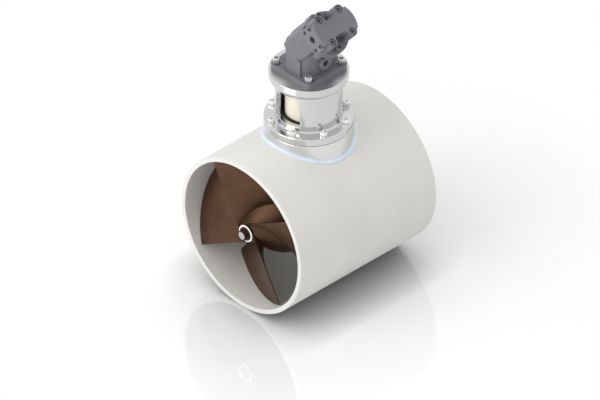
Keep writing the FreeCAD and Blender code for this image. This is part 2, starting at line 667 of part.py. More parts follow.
def propeller_key_shape():
    width, height = PROPELLER_KEY
    top = taper_radius(PROPELLER_KEY_ENDS[0]) + height / 2
    return box(PROPELLER_KEY_ENDS, (-width / 2, width / 2), (top - height, top))


def gear_key_shape():
    width, height = GEAR_KEY
    middle = (GEAR_HUB_BACK + GEAR_HUB_FRONT) / 2
    ends = (middle - GEAR_KEY_LENGTH / 2, middle + GEAR_KEY_LENGTH / 2)
    return box(ends, (-width / 2, width / 2), (-GEAR_SEAT_RADIUS - height / 2, -GEAR_SEAT_RADIUS + height / 2))


def make_gear_spacer():
    """Sleeve between the front bearing and the bevel gear's hub."""
    return ring(GEAR_HUB_RADIUS, GEAR_SEAT_RADIUS, FRONT_BEARING_BACK, GEAR_HUB_BACK, X_AXIS)


def bearing_outer(radius, start, width, axis):
    return ring(radius, radius - bearing_ring(radius), start, start + width, axis)


def bearing_ring(radius):
    """Radial thickness of a bearing's ring."""
    return radius * BEARING_RING_SHARE


def bearing_inner(outer_radius, bore, start, width, axis):
    """Inner ring with its rollers, which run a hair inside the outer ring."""
    track = outer_radius - bearing_ring(outer_radius) - ROLLER_GAP
    inner_track = bore + bearing_ring(outer_radius)
    inner = ring(inner_track, bore, start, start + width, axis)
    roller_radius = (track - inner_track) / 2 * ROLLER_BITE
    side = X_AXIS if axis == Z_AXIS else Z_AXIS
    margin = width * ROLLER_MARGIN
    roller = rod(roller_radius, start + margin, start + width - margin, axis, side * (track - roller_radius))
    return inner.fuse(around(roller, BEARING_ROLLERS, axis)).removeSplitter()


def front_bearing_front():
    return FRONT_BEARING_BACK - BEARING_WIDTH


def make_seal_sleeve():
    return ring(SEAL_SLEEVE_RADIUS, SEAL_JOURNAL_RADIUS, HUB_BOSS_BACK, front_bearing_front(), X_AXIS)


def lip_seal(outer, journal, start, width, axis):
    """A seal ring with its lip just clear of the journal it wipes."""
    lip = journal + ROLLER_GAP
    body = journal + (outer - journal) * SEAL_BODY_SHARE
    return turned([(start, outer), (start, lip), (start + width / 4, lip), (start + width / 3, body),
                   (start + width * 0.7, body), (start + width * 0.75, outer - SEAL_SHELL),
                   (start + width, outer - SEAL_SHELL), (start + width, outer)], axis)


def make_front_carrier():
    flange = POD_FRONT - CARRIER_FLANGE_THICKNESS
    bearing = front_bearing_front()
    wall = SEAL_SLEEVE_RADIUS + HOLE_CLEARANCE * 2
    carrier = turned([
        (flange, SEAL_RADIUS), (flange + SEAL_WIDTH, SEAL_RADIUS), (flange + SEAL_WIDTH, wall),
        (bearing - SHOULDER_HEIGHT, wall), (bearing - SHOULDER_HEIGHT, FRONT_BEARING_RADIUS - SHOULDER_HEIGHT),
        (bearing, FRONT_BEARING_RADIUS - SHOULDER_HEIGHT), (bearing, FRONT_BEARING_RADIUS),
        (CARRIER_BACK, FRONT_BEARING_RADIUS), (CARRIER_BACK, CARRIER_RADIUS), (POD_FRONT, CARRIER_RADIUS),
        (POD_FRONT, CARRIER_FLANGE_RADIUS), (flange, CARRIER_FLANGE_RADIUS)], X_AXIS)
    carrier = carrier.cut(screw_threads(M10, CARRIER_SCREWS, CARRIER_SCREW_CIRCLE, flange, POD_FRONT, X_AXIS,
                                        HOLE_CLEARANCE))
    return carrier.cut(carrier_o_ring())


def carrier_o_ring():
    start = (POD_FRONT + POD_CAVITY_FRONT - O_RING) / 2
    return ring(CARRIER_RADIUS, CARRIER_RADIUS - O_RING_DEPTH, start, start + O_RING, X_AXIS)


def make_carrier_screws():
    flange = POD_FRONT - CARRIER_FLANGE_THICKNESS
    screw = socket_screw(M10, CARRIER_SCREW_LENGTH, Vector(flange, 0, CARRIER_SCREW_CIRCLE), -X_AXIS)
    return Part.makeCompound(around(screw, CARRIER_SCREWS, X_AXIS, 180.0 / CARRIER_SCREWS))


# Propeller

def blade_pitch(radius):
    return BLADE_ROOT_PITCH + BLADE_PITCH_GROWTH * radius


def blade_point(radius, share, side):
    """A point on one face of the first blade. Share runs from the leading to the trailing edge."""
    leading = BLADE_LEADING_ANGLE - degrees(asin(BLADE_LEADING_OFFSET / radius))
    sweep = share * (BLADE_TRAILING_ANGLE - leading)
    pitch = blade_pitch(radius)
    out = (radius - HUB_FRONT_RADIUS) / (BLADE_TIP_RADIUS - HUB_FRONT_RADIUS)
    thickest = BLADE_ROOT_THICKNESS + (BLADE_TIP_THICKNESS - BLADE_ROOT_THICKNESS) * out
    thickness = BLADE_EDGE_THICKNESS + (thickest - BLADE_EDGE_THICKNESS) * sin(pi * share)
    slope = atan(pitch / (2 * pi * radius))
    along = BLADE_FRONT + pitch * sweep / 360 + side * thickness / 2 / cos(slope)
    angle = radians(leading + sweep)
    return Vector(along, radius * cos(angle), radius * sin(angle))


def blade_face(side):
    """One screw face of the blade, from inside the hub to the tip."""
    inner = BLADE_LEADING_OFFSET + BLADE_ROOT_DEPTH
    shares = [(k / BLADE_ROWS) ** BLADE_ROW_BUNCHING for k in range(BLADE_ROWS + 1)]
    radii = [inner + (BLADE_TIP_RADIUS - inner) * share for share in shares]
    surface = Part.BSplineSurface()
    steps = [step / BLADE_STATIONS for step in range(BLADE_STATIONS + 1)]
    surface.interpolate([[blade_point(radius, share, side) for share in steps] for radius in radii])
    return surface.toShape()


def make_blade():
    """Two screw faces joined by ruled edges all round."""
    front, back = blade_face(-1), blade_face(1)
    faces = [front, back]
    for edge in front.Edges:
        partner = min(back.Edges, key=lambda other: (other.CenterOfMass - edge.CenterOfMass).Length)
        faces.append(Part.makeRuledSurface(edge, partner))
    shell = Part.makeShell(faces)
    shell.sewShape()
    blade = Part.Solid(shell)
    if blade.Volume < 0:
        blade.reverse()
    return blade


def hub_curve(inset):
    """The hub's swelling outer line, set in by a wall."""
    length = HUB_BACK - HUB_FRONT
    growth = HUB_BACK_RADIUS - HUB_FRONT_RADIUS
    curve = Part.BSplineCurve()
    curve.interpolate([Vector(HUB_FRONT + length * along, 0, HUB_FRONT_RADIUS + growth * out - inset)
                       for along, out in HUB_LINE])
    return curve


def hub_body(inset, front):
    """The body of revolution under the hub's outer line, behind one station."""
    curve = hub_curve(inset)
    start, end = curve.StartPoint, curve.EndPoint
    rest = Part.makePolygon([end, Vector(end.x, 0, 0), Vector(start.x, 0, 0), start])
    body = Part.Face(Part.Wire([curve.toShape()] + rest.Edges)).revolve(ORIGIN, X_AXIS, 360)
    return body.common(rod(BLADE_TIP_RADIUS, front, HUB_BACK, X_AXIS))


def make_propeller():
    blade = make_blade().common(rod(BLADE_TIP_RADIUS * 2, SHAFT_END, HUB_BACK, X_AXIS))
    propeller = hub_body(0, HUB_FRONT).fuse(around(blade, BLADES, X_AXIS))
    boss = rod(HUB_BOSS_RADIUS, HUB_CORE_FRONT, HUB_BOSS_BACK, X_AXIS)
    propeller = propeller.cut(hub_body(HUB_WALL, HUB_CORE_FRONT).cut(boss))
    propeller = propeller.cut(rod(PROPELLER_WASHER_RADIUS + ROLLER_GAP, SHAFT_END, HUB_FRONT, X_AXIS))
    bore = turned([(HUB_FRONT, 0), (HUB_FRONT, TAPER_FRONT_RADIUS), (TAPER_FRONT, TAPER_FRONT_RADIUS),
                   (HUB_BOSS_BACK, TAPER_BACK_RADIUS), (HUB_BOSS_BACK, 0)], X_AXIS)
    return propeller.cut(bore).cut(propeller_key_shape())


def washer_front():
    return HUB_FRONT - PROPELLER_WASHER_THICKNESS


def make_propeller_washer():
    return ring(PROPELLER_WASHER_RADIUS, SHAFT_THREAD_RADIUS, washer_front(), HUB_FRONT, X_AXIS)


def make_propeller_nut():
    front = washer_front() - PROPELLER_NUT_LENGTH
    corner = PROPELLER_NUT_CORNER_RADIUS
    hexagon = [Vector(front, corner * sin(pi * k / 3), corner * cos(pi * k / 3)) for k in range(7)]
    nut = Part.Face(Part.makePolygon(hexagon)).extrude(X_AXIS * PROPELLER_NUT_LENGTH)
    nose = turned([(front, 0), (front, corner - PROPELLER_NUT_NOSE), (front + PROPELLER_NUT_NOSE, corner),
                   (washer_front(), corner), (washer_front(), 0)], X_AXIS)
    return nut.common(nose).cut(rod(SHAFT_THREAD_RADIUS, front, washer_front(), X_AXIS))


# Tail cap

def quarter_dome(length, radius):
    """Half an ellipsoid standing on the gear housing's back face."""
    curve = Part.BSplineCurve()
    angles = [k * pi / 12 for k in range(7)]
    curve.interpolate([Vector(POD_BACK + length * sin(angle), 0, radius * cos(angle)) for angle in angles])
    rest = Part.makePolygon([curve.EndPoint, Vector(POD_BACK, 0, 0), curve.StartPoint])
    return Part.Face(Part.Wire([curve.toShape()] + rest.Edges)).revolve(ORIGIN, X_AXIS, 360)


def make_tail_cap():
    inner = TAIL_SPIGOT_RADIUS - TAIL_WALL
    web_back = TAIL_SPIGOT_FRONT + TAIL_WALL
    bearing_back = REAR_BEARING_FRONT + REAR_BEARING_WIDTH
    stop = REAR_BEARING_RADIUS - SHOULDER_HEIGHT
    collar = turned([(REAR_BEARING_FRONT, REAR_BEARING_RADIUS), (bearing_back, REAR_BEARING_RADIUS),
                     (bearing_back, stop), (web_back, stop), (web_back, inner), (POD_BACK, inner),
                     (POD_BACK, TAIL_SPIGOT_RADIUS), (TAIL_SPIGOT_FRONT, TAIL_SPIGOT_RADIUS),
                     (TAIL_SPIGOT_FRONT, TAIL_BOSS_RADIUS), (REAR_BEARING_FRONT, TAIL_BOSS_RADIUS)], X_AXIS)
    dome = quarter_dome(TAIL_LENGTH, POD_BACK_RADIUS).cut(quarter_dome(TAIL_LENGTH - 2 * TAIL_WALL, inner))
    cap = dome.fuse(collar).removeSplitter()
    floor = POD_BACK + TAIL_FLANGE_THICKNESS
    cap = cap.cut(screw_threads(M8, TAIL_SCREWS, TAIL_SCREW_CIRCLE, POD_BACK, floor, X_AXIS, HOLE_CLEARANCE))
    sink = rod(M8[1] + HEAD_CLEARANCE, floor, POD_BACK + TAIL_LENGTH, X_AXIS, Z_AXIS * TAIL_SCREW_CIRCLE)
    cap = cap.cut(Part.makeCompound(around(sink, TAIL_SCREWS, X_AXIS, 180.0 / TAIL_SCREWS)))
    cap = cap.cut(rod(DRAIN_PLUG_RADIUS, POD_BACK, POD_BACK + TAIL_LENGTH, X_AXIS))
    return cap.cut(cap_o_ring())


def cap_o_ring():
    start = (TAIL_SPIGOT_FRONT + POD_BACK - O_RING) / 2
    return ring(TAIL_SPIGOT_RADIUS, TAIL_SPIGOT_RADIUS - O_RING_DEPTH, start, start + O_RING, X_AXIS)


def make_tail_screws():
    screw = socket_screw(M8, TAIL_SCREW_LENGTH,
                         Vector(POD_BACK + TAIL_FLANGE_THICKNESS, 0, TAIL_SCREW_CIRCLE), X_AXIS)
    return Part.makeCompound(around(screw, TAIL_SCREWS, X_AXIS, 180.0 / TAIL_SCREWS))


def make_drain_plug():
    end = POD_BACK + TAIL_LENGTH - DRAIN_PLUG_SUNK
    plug = rod(DRAIN_PLUG_RADIUS, end - DRAIN_PLUG_LENGTH, end, X_AXIS)
    corner = DRAIN_PLUG_HEX / sqrt(3)
    floor = end - DRAIN_PLUG_LENGTH / 4
    socket = Part.Face(Part.makePolygon(
        [Vector(floor, corner * sin(pi * k / 3), corner * cos(pi * k / 3)) for k in range(7)]))
    return plug.cut(socket.extrude(X_AXIS * TAIL_WALL))


def make_rear_nut():
    start = REAR_BEARING_FRONT + REAR_BEARING_WIDTH
    return ring(REAR_NUT_RADIUS, TAIL_JOURNAL_RADIUS, start, start + REAR_NUT_WIDTH, X_AXIS)


# Vertical drive

def cartridge_top():
    return LEG_NECK_TOP + CARTRIDGE_FLANGE_THICKNESS


def upper_bearing_top():
    return UPPER_BEARING_BOTTOM + DRIVE_BEARING_WIDTH


def make_cartridge():
    lower_top = LOWER_BEARING_BOTTOM + DRIVE_BEARING_WIDTH
    cartridge = turned([
        (LOWER_BEARING_BOTTOM, DRIVE_BEARING_RADIUS), (lower_top, DRIVE_BEARING_RADIUS),
        (lower_top, DRIVE_SHOULDER_RADIUS), (UPPER_BEARING_BOTTOM, DRIVE_SHOULDER_RADIUS),
        (UPPER_BEARING_BOTTOM, DRIVE_BEARING_RADIUS), (cartridge_top(), DRIVE_BEARING_RADIUS),
        (cartridge_top(), CARTRIDGE_FLANGE_RADIUS), (LEG_NECK_TOP, CARTRIDGE_FLANGE_RADIUS),
        (LEG_NECK_TOP, CARTRIDGE_RADIUS), (LOWER_BEARING_BOTTOM, CARTRIDGE_RADIUS)])
    cartridge = cartridge.cut(snap_ring_body()).cut(cartridge_o_rings())
    return cartridge.cut(screw_threads(M6, CARTRIDGE_SCREWS, CARTRIDGE_SCREW_CIRCLE, LEG_NECK_TOP,
                                       cartridge_top(), Z_AXIS, HOLE_CLEARANCE))


def snap_ring_body():
    top = upper_bearing_top()
    return ring(DRIVE_BEARING_RADIUS + SNAP_RING_DEPTH, DRIVE_SHOULDER_RADIUS, top, top + SNAP_RING_WIDTH)


def make_snap_ring():
    """The retaining ring, with the gap that lets it close."""
    top = upper_bearing_top()
    gap = box((DRIVE_SHOULDER_RADIUS - 5, DRIVE_BEARING_RADIUS + 5), (-5, 5), (top, top + SNAP_RING_WIDTH))
    return snap_ring_body().cut(gap)


def cartridge_o_rings():
    rings = [ring(CARTRIDGE_RADIUS, CARTRIDGE_RADIUS - O_RING_DEPTH, height, height + O_RING)
             for height in (POD_RADIUS + LEG_PLATE_THICKNESS, LEG_NECK_TOP - LEG_PLATE_THICKNESS)]
    return Part.makeCompound(rings)


def make_o_rings():
    return Part.makeCompound([carrier_o_ring(), cap_o_ring()] + cartridge_o_rings().Solids)


def make_cartridge_screws():
    screw = socket_screw(M6, CARTRIDGE_SCREW_LENGTH, Vector(CARTRIDGE_SCREW_CIRCLE, 0, cartridge_top()))
    return Part.makeCompound(around(screw, CARTRIDGE_SCREWS, first=180.0 / CARTRIDGE_SCREWS))


def pinion_front():
    return CONE_DISTANCE * cos(PINION_CONE) * (1 - TOOTH_FACE / CONE_DISTANCE)


def lower_hub_top():
    return COUPLING_SLEEVE_BOTTOM + COUPLING_CROWN_WIDTH


def make_drive_shaft():
    nut_top = upper_bearing_top() + DRIVE_NUT_WIDTH
    shaft = turned([
        (pinion_front(), 0), (pinion_front(), PINION_SEAT_RADIUS), (PINION_TOP, PINION_SEAT_RADIUS),
        (PINION_TOP, DRIVE_COLLAR_RADIUS), (LOWER_BEARING_BOTTOM, DRIVE_COLLAR_RADIUS),
        (LOWER_BEARING_BOTTOM, DRIVE_JOURNAL_RADIUS), (nut_top, DRIVE_JOURNAL_RADIUS),
        (nut_top, DRIVE_SHAFT_RADIUS), (LOWER_HUB_BOTTOM, DRIVE_SHAFT_RADIUS),
        (LOWER_HUB_BOTTOM, COUPLING_SEAT_RADIUS), (lower_hub_top(), COUPLING_SEAT_RADIUS),
        (lower_hub_top(), 0)])
    shaft = shaft.cut(pinion_key_shape()).cut(hub_key_shape(LOWER_HUB_BOTTOM + SHOULDER_HEIGHT))
    return shaft.cut(rod(M8[0], pinion_front(), pinion_front() + PINION_SCREW_DEPTH))


def pinion_key_shape():
    width, height = PINION_KEY
    return box((PINION_SEAT_RADIUS - height / 2, PINION_SEAT_RADIUS + height / 2), (-width / 2, width / 2),
               PINION_KEY_ENDS)


def hub_key_shape(bottom):
    width, height = HUB_KEY
    return box((COUPLING_SEAT_RADIUS - height / 2, COUPLING_SEAT_RADIUS + height / 2), (-width / 2, width / 2),
               (bottom, bottom + HUB_KEY_LENGTH))


def make_pinion_retainer():
    bottom = pinion_front() - PINION_RETAINER_THICKNESS
    return ring(PINION_RETAINER_RADIUS, M8[0] + HOLE_CLEARANCE, bottom, pinion_front())


def make_pinion_screw():
    thread, head, height, flats = M8
    length = PINION_SCREW_DEPTH + PINION_RETAINER_THICKNESS - THREAD_END_GAP
    under_head = Vector(0, 0, pinion_front() - PINION_RETAINER_THICKNESS)
    return socket_screw((thread, head, height / 2, flats), length, under_head, -Z_AXIS)


def make_drive_nut():
    bottom = upper_bearing_top()
    return ring(DRIVE_NUT_RADIUS, DRIVE_JOURNAL_RADIUS, bottom, bottom + DRIVE_NUT_WIDTH)


def make_drive_spacer():
    return ring(DRIVE_SPACER_RADIUS, DRIVE_JOURNAL_RADIUS, LOWER_BEARING_BOTTOM + DRIVE_BEARING_WIDTH,
                UPPER_BEARING_BOTTOM)


# Coupling

def crown(bottom, top, gap):
    """The lugged ring that slides into the sleeve."""
    lug = box((0, COUPLING_LUG_REACH + gap), (-COUPLING_LUG_WIDTH / 2 - gap, COUPLING_LUG_WIDTH / 2 + gap),
              (bottom, top))
    return rod(COUPLING_CROWN_RADIUS + gap, bottom, top).fuse(around(lug, COUPLING_LUGS)).removeSplitter()


def make_lower_hub():
    flange_top = COUPLING_SLEEVE_BOTTOM - COUPLING_FLANGE_GAP
    hub = rod(COUPLING_BOSS_RADIUS, LOWER_HUB_BOTTOM, flange_top)
    hub = hub.fuse([rod(COUPLING_FLANGE_RADIUS, flange_top - COUPLING_FLANGE_THICKNESS, flange_top),
                    crown(flange_top, lower_hub_top(), 0)]).removeSplitter()
    hub = hub.cut(rod(COUPLING_SEAT_RADIUS, LOWER_HUB_BOTTOM, lower_hub_top()))
    return hub.cut(hub_key_shape(LOWER_HUB_BOTTOM + SHOULDER_HEIGHT))


def upper_hub_key_bottom():
    return COUPLING_SLEEVE_TOP - HUB_KEY_LENGTH


def make_upper_hub():
    bottom = COUPLING_SLEEVE_TOP - COUPLING_CROWN_WIDTH
    top = COUPLING_SLEEVE_TOP + UPPER_HUB_BOSS
    hub = crown(bottom, COUPLING_SLEEVE_TOP, 0).fuse([rod(COUPLING_BOSS_RADIUS, MOTOR_SHAFT_BOTTOM, top)])
    hub = hub.removeSplitter().cut(rod(COUPLING_SEAT_RADIUS, MOTOR_SHAFT_BOTTOM, top))
    return hub.cut(hub_key_shape(upper_hub_key_bottom()))


def make_sleeve():
    sleeve = rod(COUPLING_SLEEVE_RADIUS, COUPLING_SLEEVE_BOTTOM, COUPLING_SLEEVE_TOP)
    rims = [edge for edge in sleeve.Edges if abs(edge.Length - 2 * pi * COUPLING_SLEEVE_RADIUS) < 0.1]
    sleeve = sleeve.makeChamfer(COUPLING_SLEEVE_CHAMFER, rims)
    return sleeve.cut(crown(COUPLING_SLEEVE_BOTTOM, COUPLING_SLEEVE_TOP, COUPLING_LUG_GAP))


def make_hub_keys():
    lower = hub_key_shape(LOWER_HUB_BOTTOM + SHOULDER_HEIGHT)
    return Part.makeCompound([lower, hub_key_shape(upper_hub_key_bottom())])


# Motor

def bent(shape):
    """Places a shape drawn about the cylinder barrel's axis, with Z along it from the bend."""
    placed = shape.copy()
    placed.rotate(ORIGIN, X_AXIS, BEND_ANGLE)
    placed.translate(Vector(0, 0, BEND_HEIGHT))
    return placed


def rounded_block(x, y, z, radius, axis=Z_AXIS):
    block = box(x, y, z)
    upright = [edge for edge in block.Edges if abs(abs(edge.tangentAt(0).dot(axis)) - 1) < 0.001]
    return block.makeFillet(radius, upright)


def motor_seal_bottom():
    return MOTOR_FACE - PILOT_DEPTH


def motor_bearing_bottom():
    return motor_seal_bottom() + MOTOR_SEAL_WIDTH


def make_motor_housing():
    half = FLANGE_SIDE / 2
    flange_top = MOTOR_FACE + FLANGE_THICKNESS
    housing = rounded_block((-half, half), (-half, half), (MOTOR_FACE, flange_top), FLANGE_CORNER)
    housing = housing.fuse(rod(PILOT_RADIUS, motor_seal_bottom(), flange_top))
    housing = housing.fuse([motor_neck(flange_top), motor_barrel()])
    drain = Z_AXIS * DRAIN_HEIGHT
    boss = rod(DRAIN_BOSS_RADIUS, MOTOR_NECK_FRONT / 2, -DRAIN_FACE, -Y_AXIS, drain)
    housing = housing.fuse(boss).removeSplitter()
    hole = rod(M12[0] + HOLE_CLEARANCE, MOTOR_FACE, flange_top, centre=X_AXIS * MOTOR_SCREW_CIRCLE)
    housing = housing.cut(Part.makeCompound(around(hole, 4, first=45.0)))
    bearing = motor_bearing_bottom()
    housing = housing.cut(rod(MOTOR_SEAL_RADIUS, motor_seal_bottom(), bearing))
    housing = housing.cut(rod(MOTOR_BEARING_RADIUS, bearing, bearing + MOTOR_BEARING_WIDTH))
    housing = housing.cut(rod(MOTOR_JOURNAL_RADIUS + SHOULDER_HEIGHT, bearing,
                              MOTOR_SHAFT_TOP + THREAD_END_GAP))
    housing = housing.cut(rod(DRAIN_PORT_RADIUS, -DRAIN_FACE - DRAIN_PORT_DEPTH, -DRAIN_FACE, -Y_AXIS, drain))
    return housing.cut(bent(end_cap_screw_threads()))


def motor_neck(bottom):
    """The shaft housing with its two flat sides, cut off where the bent barrel stands on it."""
    top = BEND_HEIGHT + MOTOR_NECK_FRONT
    neck = rounded_block((-MOTOR_NECK_HALF_WIDTH, MOTOR_NECK_HALF_WIDTH), (-MOTOR_NECK_FRONT, MOTOR_NECK_BACK),
                         (bottom, top), MOTOR_NECK_ROUND)
    pads = box((-MOTOR_HALF_WIDTH, MOTOR_HALF_WIDTH), (-MOTOR_PAD_FRONT, MOTOR_PAD_BACK), (bottom, top))
    neck = neck.fuse(pads).removeSplitter()
    size = 4 * MOTOR_HALF_WIDTH
    over_the_bend = box((-size, size), (-size, size), (0, size))
    over_the_bend.rotate(ORIGIN, X_AXIS, BEND_ANGLE / 2)
    over_the_bend.translate(Z_AXIS * (BEND_HEIGHT + MOTOR_NECK_RISE))
    over_the_barrel_floor = bent(box((-size, size), (-BARREL_FRONT, size), (-size, size)))
    return neck.cut(over_the_bend.common(over_the_barrel_floor))


def barrel_section(start, end):
    """The barrel's outside between two stations: round in front, with flat sides and a sloping back."""
    half = MOTOR_HALF_WIDTH
    right = [(half, 0), (half, BARREL_SIDE_BACK), (BARREL_BACK_HALF_WIDTH, BARREL_BACK)]
    left = [(-x, y) for x, y in reversed(right)]
    corners = [Vector(x, y, start) for x, y in right + left]
    edges = [Part.makeLine(first, second) for first, second in zip(corners, corners[1:])]
    edges.append(Part.Arc(corners[-1], Vector(0, -half, start), corners[0]).toShape())
    block = Part.Face(Part.Wire(edges)).extrude(Z_AXIS * (end - start))
    upright = [edge for edge in block.Edges
               if edge.CenterOfMass.y > half / 2 and abs(edge.tangentAt(0).z) > 0.5]
    return block.makeFillet(BARREL_ROUND, upright)


def motor_barrel():
    """The housing of the cylinder barrel, bent away from the shaft's axis, with a flange at its end."""
    barrel = barrel_section(BARREL_NOSE, BARREL_END)
    nose = [edge for edge in barrel.Edges if edge.BoundBox.ZMax < BARREL_NOSE + 0.01]
    barrel = barrel.makeFillet(BARREL_NOSE_ROUND, nose)
    reach = 2 * MOTOR_HALF_WIDTH
    barrel = barrel.cut(box((-reach, reach), (-reach, -BARREL_FRONT), (BARREL_NOSE, BARREL_END)))
    lugs = [rod(CAP_LUG_RADIUS, CAP_LUG_START, CAP_START, centre=place) for place in end_cap_screw_places()]
    return bent(barrel.fuse([barrel_section(BARREL_END, CAP_START)] + lugs).removeSplitter())


def cap_screw_places():
    return [Vector(x * CAP_SCREW_X, y * CAP_SCREW_Y, 0) for x in (-1, 1) for y in (-1, 1)]


def pocket_screw_places():
    return [Vector(0, y * POCKET_SCREW_Y, 0) for y in (-1, 1)]


def end_cap_screw_places():
    return cap_screw_places() + pocket_screw_places()


def end_cap_screw_threads():
    return Part.makeCompound([rod(M12[0], CAP_START - CAP_SCREW_GRIP, CAP_START, centre=place)
                              for place in end_cap_screw_places()])


def make_end_cap():
    """A round flange, a body with flat front and back, four screw lugs and two port faces."""
    depth = (-CAP_HALF_DEPTH, CAP_HALF_DEPTH)
    limit = box((-CAP_RADIUS, CAP_RADIUS), depth, (CAP_FLANGE_TOP, CAP_END))
    body = rod(CAP_RADIUS, CAP_FLANGE_TOP, CAP_END).common(limit)
    lugs = [rod(CAP_LUG_RADIUS, CAP_FLANGE_TOP, CAP_END, centre=place) for place in cap_screw_places()]
    cap = barrel_section(CAP_START, CAP_FLANGE_TOP).fuse([body] + lugs)
    port_band = (PORT_AT - PORT_PAD_HALF_LENGTH, PORT_AT + PORT_PAD_HALF_LENGTH)
    for side in (-1, 1):
        beyond = sorted((side * PORT_FACE, side * 2 * PORT_FACE))
        cap = cap.cut(box(beyond, (-CAP_RADIUS, CAP_RADIUS), port_band))
    pads = rounded_block((-PORT_FACE, PORT_FACE), (-PORT_PAD_HALF_DEPTH, PORT_PAD_HALF_DEPTH), port_band,
                         PORT_PAD_ROUND, X_AXIS)
    cap = cap.fuse(pads).removeSplitter()
    for side in (-1, 1):
        reach = sorted((side * POCKET_FLOOR, side * 2 * CAP_RADIUS))
        cap = cap.cut(rounded_block((-POCKET_HALF_WIDTH, POCKET_HALF_WIDTH), reach, (CAP_FLANGE_TOP, CAP_END),
                                    POCKET_ROUND))
        cap = cap.cut(port_passages(side))
    for place in cap_screw_places():
        cap = cap.cut(rod(M12[0] + HOLE_CLEARANCE, CAP_START, CAP_END, centre=place))
        cap = cap.cut(rod(M12[1] + HEAD_CLEARANCE, CAP_END - CAP_SCREW_SUNK, CAP_END, centre=place))
    for place in pocket_screw_places():
        cap = cap.cut(rod(M12[0] + HOLE_CLEARANCE, CAP_START, CAP_FLANGE_TOP, centre=place))
    return bent(cap)


def port_passages(side):
    """A pressure port and its four bolt holes, from one side."""
    face = X_AXIS * side
    mouth = Z_AXIS * PORT_AT
    holes = [rod(PORT_RADIUS, PORT_FACE - PORT_DEPTH, PORT_FACE, face, mouth)]
    for across in (-PORT_BOLT_ACROSS, PORT_BOLT_ACROSS):
        for along in (-PORT_BOLT_ALONG, PORT_BOLT_ALONG):
            centre = mouth + Y_AXIS * across + Z_AXIS * along
            holes.append(rod(M10[0], PORT_FACE - PORT_BOLT_DEPTH, PORT_FACE, face, centre))
    return Part.makeCompound(holes)


def make_end_cap_screws():
    grip = CAP_SCREW_GRIP - THREAD_END_GAP - CAP_START
    deep = CAP_END - CAP_SCREW_SUNK
    screws = [socket_screw(M12, deep + grip, place + Z_AXIS * deep) for place in cap_screw_places()]
    screws += [socket_screw(M12, CAP_FLANGE_TOP + grip, place + Z_AXIS * CAP_FLANGE_TOP)
               for place in pocket_screw_places()]
    return bent(Part.makeCompound(screws))


def make_motor_screws():
    under_head = MOTOR_FACE + FLANGE_THICKNESS + WASHER_THICKNESS
    screw = socket_screw(M12, MOTOR_SCREW_LENGTH, Vector(MOTOR_SCREW_CIRCLE, 0, under_head))
    return Part.makeCompound(around(screw, 4, first=45.0))


def make_motor_washers():
    bottom = MOTOR_FACE + FLANGE_THICKNESS
    washer = ring(WASHER_RADIUS, M12[0], bottom, bottom + WASHER_THICKNESS, centre=X_AXIS * MOTOR_SCREW_CIRCLE)
    return Part.makeCompound(around(washer, 4, first=45.0))


def make_motor_shaft():
    top = motor_bearing_bottom() + MOTOR_BEARING_WIDTH
    step = motor_seal_bottom() - THREAD_END_GAP
    shoulder = MOTOR_JOURNAL_RADIUS + SHOULDER_HEIGHT / 2
    shaft = turned([(MOTOR_SHAFT_BOTTOM, 0), (MOTOR_SHAFT_BOTTOM, COUPLING_SEAT_RADIUS),
                    (step, COUPLING_SEAT_RADIUS), (step, MOTOR_JOURNAL_RADIUS), (top, MOTOR_JOURNAL_RADIUS),
                    (top, shoulder), (MOTOR_SHAFT_TOP, shoulder), (MOTOR_SHAFT_TOP, 0)])
    return shaft.cut(hub_key_shape(upper_hub_key_bottom()))


